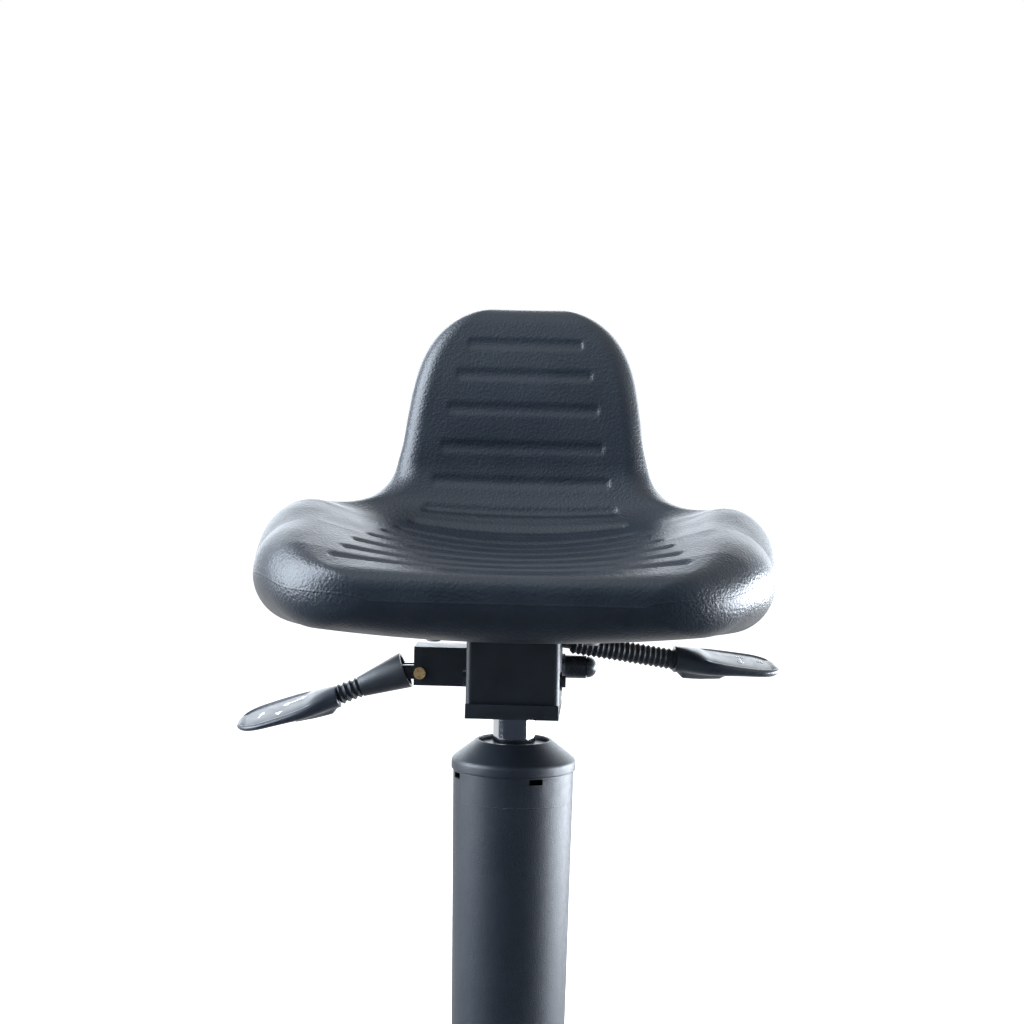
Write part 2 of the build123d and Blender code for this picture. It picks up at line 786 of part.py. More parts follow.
def clamp_lever_arm():
    """Fork on the brass pin, with two horns behind the rod's bar, a web and a round arm."""
    reach = horn_reach()
    turn = Rot(0, 0, clamp_droop)
    far = -(web_start + running_gap)
    outline = turn * make_face(Polyline(
        (0, -tine_half_height), (far, arm_offset - tine_half_height),
        (far, arm_offset + tine_half_height), (0, tine_half_height), close=True))
    outline += Circle(tine_half_height)
    outline += make_face(Polyline(
        (0, -horn_foot), (reach + horn_thickness, -horn_foot), (reach + horn_thickness, horn_height),
        (reach, horn_height), (reach, horn_floor), (0, horn_floor), close=True))
    outline -= Circle(lever_pin_radius + running_gap)
    frame = Plane(origin=(lever_pin_x, clamp_back, lever_pin_z), x_dir=(1, 0, 0), z_dir=(0, -1, 0))
    tines = [extrude(frame.offset(side) * outline, tine_outer - tine_inner)
             for side in (tine_inner, -tine_outer)]
    line = clamp_line()
    web = line * Pos(0, 0, web_start + web_length / 2) \
        * Box(2 * tine_outer, 2 * tine_half_height, web_length)
    start = web_start + web_length / 2
    arm = line * Pos(0, 0, (start + arm_length) / 2) * Cylinder(arm_radius, arm_length - start)
    return tines[0] + tines[1] + web + arm


def clamp_lever_boot():
    """Cone over the fork, then four rings round the arm."""
    bore = arm_radius + running_gap
    end = boot_start + boot_length
    cone = turned([
        (boot_radius, boot_start), (boot_small_radius, end), (bore, end),
        (bore, boot_start + boot_hollow),
        (boot_radius - boot_wall - boot_hollow_taper, boot_start + boot_hollow),
        (boot_radius - boot_wall, boot_start)])
    neck = ribbed(neck_core_radius, neck_ring_radius, neck_ring_pitch, neck_ring_count, bore, end)
    return clamp_line() * (cone + neck)


def clamp_paddle_start():
    return boot_start + boot_length + neck_ring_count * neck_ring_pitch


def clamp_lever_paddle():
    start = clamp_paddle_start()
    leaf = paddle(clamp_paddle_length, clamp_paddle_root, clamp_paddle_width)
    leaf = Pos(0, 0, start) * Rot(-clamp_paddle_rise, 0, -clamp_paddle_roll) * leaf
    collar = Pos(0, 0, start / 2) * Cylinder(clamp_paddle_width, start)
    return clamp_line() * (leaf - collar - rod_bore(arm_radius, start, arm_length))


def height_line():
    return lever_line((lever_bend_out, 0, hinge_z), 1, lever_sweep, lever_droop)


def height_lever_rod():
    line = height_line()
    end = line.origin + line.z_dir * lever_rod_length
    start = (-lever_inner_reach, 0, hinge_z)
    path = FilletPolyline(start, line.origin, end, radius=lever_bend_radius)
    rod = sweep(Plane(origin=start, z_dir=(1, 0, 0)) * Circle(lever_rod_radius), path)
    hole = Cylinder(hinge_pin_radius + running_gap, through_cut, rotation=(90, 0, 0))
    return rod - Pos(hinge_out, 0, hinge_z) * hole


def height_lever_sleeve():
    return height_line() * ribbed(sleeve_core_radius, sleeve_radius, sleeve_rib_pitch, sleeve_rib_count,
                                  lever_rod_radius + running_gap, sleeve_start)


def height_lever_paddle():
    start = sleeve_start + sleeve_rib_count * sleeve_rib_pitch
    leaf = paddle(height_paddle_length, height_paddle_root, height_paddle_width)
    leaf = Pos(0, 0, start) * Rot(-height_paddle_rise, 0, height_paddle_roll) * leaf
    collar = Pos(0, 0, start / 2) * Cylinder(height_paddle_width, start)
    return height_line() * (leaf - collar - rod_bore(lever_rod_radius, start, lever_rod_length))


# Seat bracket

def bolt_places():
    return [(side * bolt_out, y) for side in (-1, 1) for y in (-bolt_front, bolt_back)]


def clamp_slot():
    """Arc slot about the tilt axle that lets the clamp rod pass through the whole tilt."""
    dy, dz = clamp_point[0] - axle_point[0], clamp_point[1] - axle_point[1]
    radius = sqrt(dy * dy + dz * dz)
    rest = degrees(asin(dz / radius))
    spare = degrees(slot_end_play / radius)
    start = rest - tilt_forward - spare
    stop = rest + tilt_back + spare
    half = clamp_rod_radius + moving_gap
    arc = CenterArc(axle_point, radius, start, stop - start)
    ends = [Pos(arc @ place) * Circle(half) for place in (0, 1)]
    band = make_face(Wire([
        CenterArc(axle_point, radius + half, start, stop - start).edge(),
        Line(Vector(*axle_point) + Vector(radius + half, 0).rotate(Axis.Z, stop),
             Vector(*axle_point) + Vector(radius - half, 0).rotate(Axis.Z, stop)).edge(),
        CenterArc(axle_point, radius - half, start, stop - start).edge(),
        Line(Vector(*axle_point) + Vector(radius + half, 0).rotate(Axis.Z, start),
             Vector(*axle_point) + Vector(radius - half, 0).rotate(Axis.Z, start)).edge()]))
    return band + ends[0] + ends[1]


def seat_bracket():
    foot = column_height + wall_foot_rise
    height = flange_foot - foot
    length = wall_front + outer_cheek_back
    centre = Pos(0, (outer_cheek_back - wall_front) / 2, foot)
    outline = Rectangle(bracket_width, length)
    outline = fillet(outline.vertices().sort_by(Axis.Y)[:2], outer_bend_radius)
    inside = Rectangle(bracket_width - 2 * sheet, length)
    inside = Pos(0, sheet) * fillet(inside.vertices().sort_by(Axis.Y)[:2], outer_bend_radius - sheet)
    channel = centre * extrude(outline - inside, height)
    corner = Pos(outer_cheek_back, foot) * Rectangle(2 * outer_cheek_corner, 2 * outer_cheek_corner)
    corner -= Pos(outer_cheek_back - outer_cheek_corner, foot + outer_cheek_corner) \
        * Circle(outer_cheek_corner)
    channel -= side_cut(corner, -bracket_width, bracket_width)
    channel -= side_cut(clamp_slot(), -bracket_width, bracket_width)
    channel -= cross_pin(axle_radius + running_gap, axle_point, -bracket_width, bracket_width)
    window = Rectangle(lever_window_front + lever_window_back, lever_window_foot + lever_window_head)
    window = fillet(window.vertices(), window_corner_radius)
    window = Pos((lever_window_back - lever_window_front) / 2,
                 hinge_z + (lever_window_head - lever_window_foot) / 2) * window
    channel -= side_cut(window, 0, bracket_width)
    flange = Rectangle(2 * flange_half_width, flange_front + flange_back)
    flange = fillet(flange.vertices(), flange_corner_radius)
    flange = Pos(0, (flange_back - flange_front) / 2, flange_foot) * extrude(flange, flange_thickness)
    for x, y in bolt_places():
        flange -= Pos(x, y, flange_foot) * Cylinder(bolt_radius + bolt_hole_play, through_cut)
    return channel + flange


def seat_bolts():
    """Button-head bolts with a hexagon socket."""
    head = flange_foot - bolt_head_height
    bolt = turned([
        (0, head), (bolt_head_radius - bolt_head_round, head),
        (bolt_head_radius, head + bolt_head_round), (bolt_head_radius, flange_foot),
        (bolt_radius, flange_foot), (bolt_radius, flange_foot + bolt_length),
        (0, flange_foot + bolt_length)])
    socket = extrude(RegularPolygon(hex_width / 2, hex_sides, major_radius=False), hex_depth + overrun)
    bolt -= Pos(0, 0, head - overrun) * socket
    return [Pos(x, y, 0) * bolt for x, y in bolt_places()]


# Seat

def board_outline(inset):
    plate = Rectangle(2 * (board_half_width + inset), board_front + board_back + 2 * inset)
    plate = fillet(plate.vertices(), board_corner_radius + inset)
    return Pos(0, (board_back - board_front) / 2, 0) * plate


def seat_board():
    board = Pos(0, 0, flange_top) * extrude(board_outline(0), board_thickness)
    for x, y in bolt_places():
        board -= Pos(x, y, flange_top) * Cylinder(insert_radius + running_gap, through_cut)
    return board


def seat_inserts():
    top = flange_top + board_thickness
    bore = bolt_radius + running_gap
    insert = turned([
        (bore, flange_top + moving_gap), (insert_radius, flange_top + moving_gap), (insert_radius, top),
        (insert_flange_radius, top), (insert_flange_radius, top + insert_flange),
        (bore, top + insert_flange)])
    return [Pos(x, y, 0) * insert for x, y in bolt_places()]


def spine(distance):
    """Place (y, z) and slope in degrees on the line along the middle of the seat and back."""
    start, end = radians(seat_slope), radians(back_angle)
    run = min(distance, seat_depth)
    y, z = -front_reach + run * cos(start), column_height + crest_height + run * sin(start)
    if distance <= seat_depth:
        return y, z, seat_slope
    turn = start + min((distance - seat_depth) / bend_radius, bend_turn)
    y += bend_radius * (sin(turn) - sin(start))
    z += bend_radius * (cos(start) - cos(turn))
    rest = distance - seat_depth - bend_radius * bend_turn
    if rest <= 0:
        return y, z, degrees(turn)
    lean = end - rest / back_curve
    y += back_curve * (sin(end) - sin(lean))
    z += back_curve * (cos(lean) - cos(end))
    return y, z, degrees(lean)


def rib_frame(distance, drop=0.0):
    """Place of a rib's top and the direction up its plane. Ribs fan out through the bend."""
    y, z, slope = spine(distance)
    if distance <= seat_depth:
        lean = 0
    elif distance <= seat_depth + bend_radius * bend_turn:
        lean = (slope - seat_slope) * back_angle / (back_angle - seat_slope)
    else:
        lean = slope
    up = Vector(0, -sin(radians(lean)), cos(radians(lean)))
    return Vector(0, y, z) - up * drop, up


def dish_radius(half_width, dish, shoulder):
    """Radius of the hollow middle arc, which is tangent to both shoulders."""
    return ((half_width - shoulder) ** 2 + dish * dish) / (2 * dish) - shoulder


def rib(distance, thickness, half_width, dish, shoulder, drop):
    """Closed section: dished top, round shoulders, round lower corners and a crowned underside."""
    origin, up = rib_frame(distance, drop)
    hollow = dish_radius(half_width, dish, shoulder)
    sine = (half_width - shoulder) / (hollow + shoulder)
    crest = (hollow * sine, hollow * (1 - sqrt(1 - sine * sine)))
    side = dish - shoulder
    depth = thickness + side
    lower = lower_corner_share * depth
    crown = ((half_width - lower) ** 2 + depth * depth - lower * lower) / (2 * (depth - lower))
    low_sine = (half_width - lower) / (crown - lower)
    low = (crown * low_sine, crown * (1 - sqrt(1 - low_sine * low_sine)) - thickness)
    turn = (pi / 2 + asin(sine)) / 2
    shoulder_middle = (half_width - shoulder + shoulder * cos(turn), side + shoulder * sin(turn))
    turn = (pi / 2 - asin(low_sine)) / 2
    lower_middle = (half_width - lower + lower * cos(turn), side - lower * sin(turn))

    def at(x, h):
        return origin + Vector(x, 0, 0) + up * h

    def arc(start, middle, end):
        return ThreePointArc(at(*start), at(*middle), at(*end))

    return Wire([
        arc((-crest[0], crest[1]), (0, 0), crest),
        arc(crest, shoulder_middle, (half_width, side)),
        arc((half_width, side), lower_middle, low),
        arc(low, (0, -thickness), (-low[0], low[1])),
        arc((-low[0], low[1]), (-lower_middle[0], lower_middle[1]), (-half_width, side)),
        arc((-half_width, side), (-shoulder_middle[0], shoulder_middle[1]), (-crest[0], crest[1]))])


def foam_ribs():
    """Rows of rib sizes in millimetres, with the distance along the spine first."""
    rows = []
    for station, deep, wide, hollow, shoulder_share, drop_share in foam_rib_shares:
        thickness = deep * seat_thickness
        rows.append((station * spine_length, thickness, wide * seat_half_width, hollow * dish_depth,
                     shoulder_share * thickness, drop_share * seat_thickness))
    return rows


def groove(distance, half_length, hollow):
    """Tube with round ends that follows the dish of the foam at one station."""
    radius = (groove_half_width ** 2 + groove_depth ** 2) / (2 * groove_depth)
    reach = hollow - radius + groove_depth
    turn = degrees(asin(half_length / hollow))
    tube = Pos(0, -reach, 0) * (Plane.YZ * Circle(radius))
    tube = revolve(Rot(0, 0, -turn) * tube, Axis.Z, 2 * turn)
    for side in (-turn, turn):
        tube += Rot(0, 0, side) * (Pos(0, -reach, 0) * Sphere(radius))
    origin, up = rib_frame(distance)
    return Plane(origin=origin + up * hollow, x_dir=(1, 0, 0), z_dir=Vector(1, 0, 0).cross(up)) * tube


def foam_grooves():
    rows = foam_ribs()
    hollows = [dish_radius(half, dish, shoulder) for _, _, half, dish, shoulder, _ in rows]
    tools = []
    for station, half_share in groove_shares:
        distance = station * spine_length
        after = next(index for index, row in enumerate(rows) if row[0] > distance)
        share = (distance - rows[after - 1][0]) / (rows[after][0] - rows[after - 1][0])
        hollow = hollows[after - 1] + share * (hollows[after] - hollows[after - 1])
        tools.append(groove(distance, half_share * seat_half_width, hollow))
    return tools


def seat_foam():
    foam = Solid.make_loft([rib(*row) for row in foam_ribs()])
    for tool in foam_grooves():
        foam -= tool
    reach = seat_half_width * 2
    foam -= Pos(0, 0, flange_top - reach / 2) * Box(reach * 2, reach * 2, reach)
    pocket = board_thickness + moving_gap
    foam -= Pos(0, 0, flange_top - overrun) * extrude(board_outline(moving_gap), pocket + overrun)
    tip = flange_foot + bolt_length + bolt_tip_play
    for x, y in bolt_places():
        foam -= Pos(x, y, tip / 2) * Cylinder(insert_flange_radius + moving_gap, tip)
    return foam


PIECES = (
    star_base, base_glides, column_tube, column_end, guide_bush, cover_tube, cover_cap,
    piston_rod, piston_head, thrust_bearing, bump_stop, rod_clip,
    pressure_tube, rod_guide, cone_socket, column_bracket, tilt_axle, axle_clip, lever_hinge,
    clamp_box, box_washer, lever_pin, release_pin,
    height_lever_rod, height_lever_sleeve, height_lever_paddle,
    clamp_lever_arm, clamp_lever_boot, clamp_lever_paddle,
    clamp_rod, cup_washer, spring_cup, disc_springs, dome_nut,
    seat_bracket, seat_bolts, seat_board, seat_inserts, seat_foam,
)

os.makedirs("parts", exist_ok=True)
for piece in PIECES:
    shape = piece()
    if isinstance(shape, list):
        shape = Compound(children=[solid for group in shape for solid in group.solids()])
    export_step(shape, "parts/" + piece.__name__ + ".step")
    print(piece.__name__, round(shape.volume))
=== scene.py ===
# %% [markdown]
# # A sit-stand stool, dressed over its mechanical frame
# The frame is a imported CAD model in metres: a five-legged foot, a gas column, a tilt bracket with two
# hand levers, and a foam seat. This notebook gives it a camera, light, materials and the shapes that a
# solid modeller leaves plain: the soft foam shell, the hand paddles with arrows on them, and a few turned
# pieces that need finer roundings than the CAD model has.
#
# In the frame, +Z is up, +Y points to the back of the seat, +X is the side of the height lever, and the
# origin is on the floor under the column.

# %% Load the frame
import math

import bmesh
import bpy
import numpy as np
from mathutils import Matrix, Vector


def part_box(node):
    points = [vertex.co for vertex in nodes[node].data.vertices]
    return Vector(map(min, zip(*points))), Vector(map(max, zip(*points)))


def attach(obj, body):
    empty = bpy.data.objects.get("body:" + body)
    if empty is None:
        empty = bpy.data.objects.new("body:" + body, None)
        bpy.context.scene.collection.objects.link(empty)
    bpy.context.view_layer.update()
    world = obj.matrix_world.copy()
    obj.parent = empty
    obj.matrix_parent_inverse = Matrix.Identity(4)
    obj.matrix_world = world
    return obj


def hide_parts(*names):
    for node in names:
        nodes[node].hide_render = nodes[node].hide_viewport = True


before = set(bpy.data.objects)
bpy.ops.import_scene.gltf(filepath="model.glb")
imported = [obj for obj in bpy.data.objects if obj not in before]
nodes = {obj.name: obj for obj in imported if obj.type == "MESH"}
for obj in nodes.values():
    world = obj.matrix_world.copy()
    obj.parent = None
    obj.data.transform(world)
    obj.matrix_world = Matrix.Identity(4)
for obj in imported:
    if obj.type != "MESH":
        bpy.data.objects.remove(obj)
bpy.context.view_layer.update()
scene = bpy.context.scene

# %% [markdown]
# ## Camera
# The photograph was taken from a little above the seat with a long lens, nearly square on. A long lens
# keeps the column's sides parallel. The camera leans by about one degree, and a small shift puts the
# column back in the middle. Such numbers are found by projecting the CAD's edges over the photograph and
# fitting them, which is surer than turning the camera by eye.

# %% Camera
lens_mm, sensor_mm = 84.375, 36.0
camera_distance, camera_height = 1.58, 0.706
turn, tilt, lean = (math.radians(angle) for angle in (2.4, 90.0 - 3.8, 1.2))
camera = bpy.data.objects.new("camera", bpy.data.cameras.new("camera"))
scene.collection.objects.link(camera)
camera.data.lens, camera.data.sensor_width = lens_mm, sensor_mm
camera.data.shift_x = -0.00655
camera.location = (camera_distance * math.sin(turn), -camera_distance * math.cos(turn), camera_height)
camera.rotation_euler = (Matrix.Rotation(turn, 3, "Z") @ Matrix.Rotation(tilt, 3, "X")
                         @ Matrix.Rotation(lean, 3, "Z")).to_euler()
scene.camera = camera
scene.view_settings.view_transform = "Standard"
print("camera at", [round(value, 3) for value in camera.location])

# %% [markdown]
# ## White studio
# Dark, softly shining plastic gets its shape from what it mirrors. Behind the object and beside it the
# room is a cool white. On the camera's side it is dim above and dark below, which leaves the fronts nearly
# black between bright rims. Large white walls and black screens round the object would do the same in a
# real studio. Here the room is read from the direction of the ray, and only mirror rays see it. The
# camera sees plain white, and what the room itself throws on the object is even and much lower.

# %% World
world = bpy.data.worlds.new("white studio")
scene.world = world
world.use_nodes = True
tree = world.node_tree
tree.nodes.clear()


def add_node(tree, kind, **settings):
    """A new node. The settings are its attributes."""
    node = tree.nodes.new(kind)
    for name, value in settings.items():
        setattr(node, name, value)
    return node


def glow(tree, colour, strength=1.0, kind="ShaderNodeEmission"):
    """An even light of one colour, for a surface or, as a background, for the world."""
    node = add_node(tree, kind)
    node.inputs["Color"].default_value = (*colour, 1)
    node.inputs["Strength"].default_value = strength
    return node.outputs[0]


def blend_of(tree, share, first, second):
    """The first shader where share is 0, the second where it is 1."""
    mix = add_node(tree, "ShaderNodeMixShader")
    for socket, value in zip(mix.inputs, (share, first, second)):
        tree.links.new(value, socket)
    return mix.outputs[0]


def span_of(tree, value, low, high, first=0.0, second=1.0):
    """Smooth step of a value from one number to another."""
    span = add_node(tree, "ShaderNodeMapRange", interpolation_type="SMOOTHSTEP")
    for name, number in zip(("From Min", "From Max", "To Min", "To Max"), (low, high, first, second)):
        span.inputs[name].default_value = number
    tree.links.new(value, span.inputs["Value"])
    return span.outputs[0]


def rays(tree, *names):
    """1 for rays of these kinds, 0 for all other light."""
    path = add_node(tree, "ShaderNodeLightPath")
    total = path.outputs[names[0]]
    for name in names[1:]:
        add = add_node(tree, "ShaderNodeMath", operation="ADD", use_clamp=True)
        tree.links.new(total, add.inputs[0])
        tree.links.new(path.outputs[name], add.inputs[1])
        total = add.outputs[0]
    return total


room_white, room_pale = (1.0, 1.0, 1.0), (0.90, 0.95, 1.0)
room_dim, room_dark = (0.33, 0.43, 0.57), (0.045, 0.056, 0.075)
fallen_colour, fallen_strength = (0.82, 0.92, 1.0), 0.28


def backdrop(colour, strength=1.0):
    """An even light of one colour for the world."""
    return glow(tree, colour, strength, "ShaderNodeBackground")


direction = add_node(tree, "ShaderNodeSeparateXYZ")
tree.links.new(add_node(tree, "ShaderNodeTexCoord").outputs["Generated"], direction.inputs[0])
behind = span_of(tree, direction.outputs["Y"], -0.85, -0.15)
above = span_of(tree, direction.outputs["Z"], -0.05, 0.22)
front = blend_of(tree, above, backdrop(room_dark), backdrop(room_dim))
mirrored = blend_of(tree, behind, front, backdrop(room_pale))
fallen = backdrop(fallen_colour, fallen_strength)
unseen = blend_of(tree, rays(tree, "Is Glossy Ray", "Is Transmission Ray"), fallen, mirrored)
seen = blend_of(tree, rays(tree, "Is Camera Ray"), unseen, backdrop(room_white))
tree.links.new(seen, add_node(tree, "ShaderNodeOutputWorld").inputs[0])
print("world nodes:", len(tree.nodes))

# %% [markdown]
# The floor is matt white and catches the object's shadow. For the camera it also glows: a little under
# the object, where the shadow has to show, and as white as the background further out, so that no
# horizon is seen. In mirrors it is dark in front and white behind, as the room is.

# %% Floor


def grid_mesh(name, points, wrap_columns=False):
    """Mesh object from a rows x columns x 3 array. Neighbouring rows and columns are joined by quads."""
    rows, columns = points.shape[:2]
    index = np.arange(rows * columns).reshape(rows, columns)
    if wrap_columns:
        index = np.hstack([index, index[:, :1]])
    quads = np.stack([index[:-1, :-1], index[:-1, 1:], index[1:, 1:], index[1:, :-1]], axis=-1)
    mesh = bpy.data.meshes.new(name)
    mesh.from_pydata(points.reshape(-1, 3), [], quads.reshape(-1, 4))
    mesh.polygons.foreach_set("use_smooth", np.ones(len(mesh.polygons), bool))
    thing = bpy.data.objects.new(name, mesh)
    scene.collection.objects.link(thing)
    return thing


floor_half, floor_height = 20.0, -0.0005
floor_line = np.linspace(-floor_half, floor_half, 5)
x, y = np.meshgrid(floor_line, floor_line)
floor = grid_mesh("floor", np.stack([x, y, np.full_like(x, floor_height)], axis=-1))
paint = bpy.data.materials.new("white floor")
paint.use_nodes = True
tree = paint.node_tree
tree.nodes.clear()
matt = add_node(tree, "ShaderNodeBsdfDiffuse")
matt.inputs["Color"].default_value = (0.86, 0.87, 0.88, 1)
place = add_node(tree, "ShaderNodeTexCoord").outputs["Object"]
reach = add_node(tree, "ShaderNodeVectorMath", operation="LENGTH")
tree.links.new(place, reach.inputs[0])
far = span_of(tree, reach.outputs["Value"], 0.4, 1.0)
veil = blend_of(tree, far, glow(tree, room_white, 0.30), glow(tree, room_white))
veil = blend_of(tree, rays(tree, "Is Camera Ray"), glow(tree, room_white, 0.0), veil)
both = add_node(tree, "ShaderNodeAddShader")
tree.links.new(matt.outputs[0], both.inputs[0])
tree.links.new(veil, both.inputs[1])
depth = add_node(tree, "ShaderNodeSeparateXYZ")
tree.links.new(place, depth.inputs[0])
mirrored = blend_of(tree, span_of(tree, depth.outputs["Y"], -0.3, 0.6),
                    glow(tree, room_dark), glow(tree, room_white, 0.9))
whole = blend_of(tree, rays(tree, "Is Glossy Ray", "Is Transmission Ray"), both.outputs[0], mirrored)
tree.links.new(whole, add_node(tree, "ShaderNodeOutputMaterial").inputs[0])
floor.data.materials.append(paint)
print("floor of", 2 * floor_half, "m")

# %% [markdown]
# Four soft boxes draw the rims. The left one stands beside the object, the right one is low and a little
# behind it, and both are seen in the seat's lobes and the column's edges. The one behind lights the tops,
# and the weak one overhead keeps the fronts from going black.

# %% Lamps
object_middle = Vector((0.0, 0.0, 0.5))


def soft_box(name, place, width, height, radiance, colour):
    """Area lamp that faces the middle of the object. Its power is pi x area x radiance."""
    data = bpy.data.lights.new(name, "AREA")
    data.shape, data.size, data.size_y, data.color = "RECTANGLE", width, height, colour
    data.energy = math.pi * width * height * radiance
    lamp = bpy.data.objects.new(name, data)
    lamp.location = place
    lamp.rotation_euler = (object_middle - Vector(place)).to_track_quat("-Z", "Y").to_euler()
    scene.collection.objects.link(lamp)


soft_box("top box", (0.0, -0.7, 2.1), 1.5, 1.5, 0.5, (0.86, 0.94, 1.0))
soft_box("left box", (-1.53, -0.22, 1.20), 1.5, 2.0, 13.0, (0.80, 0.89, 1.0))
soft_box("right box", (1.50, 0.48, 0.37), 1.9, 0.6, 24.0, (0.84, 0.91, 1.0))
soft_box("back box", (0.0, 1.75, 1.0), 2.6, 1.3, 3.2, (0.86, 0.93, 1.0))

# %% [markdown]
# ## Finishes
# Every finish is one shader with three kinds of detail: a tone that wanders a little in colour, a
# roughness that wanders too, and a relief that only bends the light. The patterns are noise in the
# object's own coordinates, so their scale is in cells per metre and they need no unwrapping.

# %% Material kit


def finish(name, roughness, metallic=0.0, specular=0.5, **sockets):
    """A material whose even values sit on the shader's own sockets."""
    material = bpy.data.materials.new(name)
    material.use_nodes = True
    tree = material.node_tree
    shader = tree.nodes["Principled BSDF"]
    shader.inputs["Roughness"].default_value = roughness
    shader.inputs["Metallic"].default_value = metallic
    shader.inputs["Specular IOR Level"].default_value = specular
    for socket, value in sockets.items():
        shader.inputs[socket.replace("_", " ")].default_value = value
    return material, tree, shader


def pattern(tree, scale, detail=3.0, stretch=(1, 1, 1), kind="noise"):
    """Noise or cells in the object's own coordinates. Its output runs from 0 to 1."""
    place = add_node(tree, "ShaderNodeTexCoord").outputs["Object"]
    if stretch != (1, 1, 1):
        mapping = add_node(tree, "ShaderNodeMapping")
        mapping.inputs["Scale"].default_value = stretch
        tree.links.new(place, mapping.inputs[0])
        place = mapping.outputs[0]
    if kind == "cells":
        node = add_node(tree, "ShaderNodeTexVoronoi", feature="SMOOTH_F1")
        node.inputs["Scale"].default_value = scale
        tree.links.new(place, node.inputs["Vector"])
        return node.outputs["Distance"]
    node = add_node(tree, "ShaderNodeTexNoise")
    node.inputs["Scale"].default_value = scale
    node.inputs["Detail"].default_value = detail
    tree.links.new(place, node.inputs["Vector"])
    return node.outputs["Fac"]


def tone(tree, shader, value, dark, light, low=0.3, high=0.7):
    """Colour that runs from dark to light with a pattern."""
    ramp = add_node(tree, "ShaderNodeValToRGB")
    ramp.color_ramp.elements[0].position, ramp.color_ramp.elements[1].position = low, high
    ramp.color_ramp.elements[0].color = (*dark, 1)
    ramp.color_ramp.elements[1].color = (*light, 1)
    tree.links.new(value, ramp.inputs[0])
    tree.links.new(ramp.outputs[0], shader.inputs["Base Color"])


def polish(tree, shader, value, smooth, rough):
    """Roughness that runs between two values with a pattern."""
    span = add_node(tree, "ShaderNodeMapRange")
    span.inputs["From Min"].default_value, span.inputs["From Max"].default_value = 0.3, 0.7
    span.inputs["To Min"].default_value, span.inputs["To Max"].default_value = smooth, rough
    tree.links.new(value, span.inputs["Value"])
    tree.links.new(span.outputs[0], shader.inputs["Roughness"])


def relief(tree, shader, *layers):
    """Bumps one over another. Each layer is (pattern, height in metres)."""
    normal = None
    for value, height in layers:
        bump = add_node(tree, "ShaderNodeBump")
        bump.inputs["Distance"].default_value = height
        tree.links.new(value, bump.inputs["Height"])
        if normal is not None:
            tree.links.new(normal, bump.inputs["Normal"])
        normal = bump.outputs[0]
    tree.links.new(normal, shader.inputs["Normal"])


finishes = {}

# %% [markdown]
# ### Foam skin
# Integral-skin foam is poured into a warm grained mould, so its skin is one closed film with a fine
# leather print and a thin line where the mould's halves meet. Small cells give the print, a slower
# noise breaks it up, and the bluish black gets slightly lighter in places.

# %% Foam skin
material, tree, shader = finish("foam skin", 0.34, specular=0.5)
tone(tree, shader, pattern(tree, 30), (0.0052, 0.0088, 0.0145), (0.0080, 0.0125, 0.0195))
polish(tree, shader, pattern(tree, 45, 4), 0.35, 0.43)
seam = add_node(tree, "ShaderNodeAttribute", attribute_name="seam").outputs["Fac"]
relief(tree, shader, (span_of(tree, seam, 0.0009, 0.0003), 0.00010), (pattern(tree, 14, 2), 0.0006),
       (pattern(tree, 480, 3), 0.00020), (pattern(tree, 640, kind="cells"), 0.00022))
finishes["foam"] = material

# %% [markdown]
# ### Moulded plastics
# The column cover is matt with a spark-eroded texture and a thin ring line from the mould below its cap,
# the levers are satin, and the foot is nylon with glass fibre, whose flow marks show as long faint
# streaks.

# %% Moulded plastics
material, tree, shader = finish("cover plastic", 0.42, specular=0.5)
tone(tree, shader, pattern(tree, 26), (0.0058, 0.0096, 0.0155), (0.0088, 0.0135, 0.0205))
polish(tree, shader, pattern(tree, 300, 3), 0.40, 0.48)
height = add_node(tree, "ShaderNodeSeparateXYZ")
tree.links.new(add_node(tree, "ShaderNodeTexCoord").outputs["Object"], height.inputs[0])
ring_height, ring_half_width = 0.4105, 0.0003
ring = add_node(tree, "ShaderNodeMath", operation="COMPARE")
ring.inputs[1].default_value, ring.inputs[2].default_value = ring_height, ring_half_width
tree.links.new(height.outputs["Z"], ring.inputs[0])
relief(tree, shader, (pattern(tree, 9, 2), 0.0004), (ring.outputs[0], 0.0002),
       (pattern(tree, 1300, 4), 0.00014))
finishes["cover"] = material

material, tree, shader = finish("lever plastic", 0.34, specular=0.5)
tone(tree, shader, pattern(tree, 40), (0.016, 0.020, 0.027), (0.024, 0.028, 0.036))
polish(tree, shader, pattern(tree, 120, 3), 0.28, 0.38)
relief(tree, shader, (pattern(tree, 30, 2), 0.0003), (pattern(tree, 1500, 2), 0.00006))
finishes["lever"] = material

material, tree, shader = finish("soft lever plastic", 0.42, specular=0.45)
tone(tree, shader, pattern(tree, 60), (0.012, 0.014, 0.018), (0.018, 0.021, 0.026))
polish(tree, shader, pattern(tree, 160, 3), 0.36, 0.48)
relief(tree, shader, (pattern(tree, 1200, 3), 0.00008))
finishes["sleeve"] = material

material, tree, shader = finish("pad print", 0.45, specular=0.4)
tone(tree, shader, pattern(tree, 900, 2), (0.70, 0.71, 0.72), (0.84, 0.85, 0.86))
polish(tree, shader, pattern(tree, 700, 2), 0.40, 0.52)
finishes["print"] = material

material, tree, shader = finish("foot nylon", 0.44, specular=0.45)
tone(tree, shader, pattern(tree, 22), (0.013, 0.015, 0.018), (0.021, 0.024, 0.028))
polish(tree, shader, pattern(tree, 60, 5, (1, 1, 0.2)), 0.36, 0.5)
relief(tree, shader, (pattern(tree, 25, 5, (1, 1, 0.15)), 0.0004), (pattern(tree, 1100, 3), 0.0001))
finishes["nylon"] = material

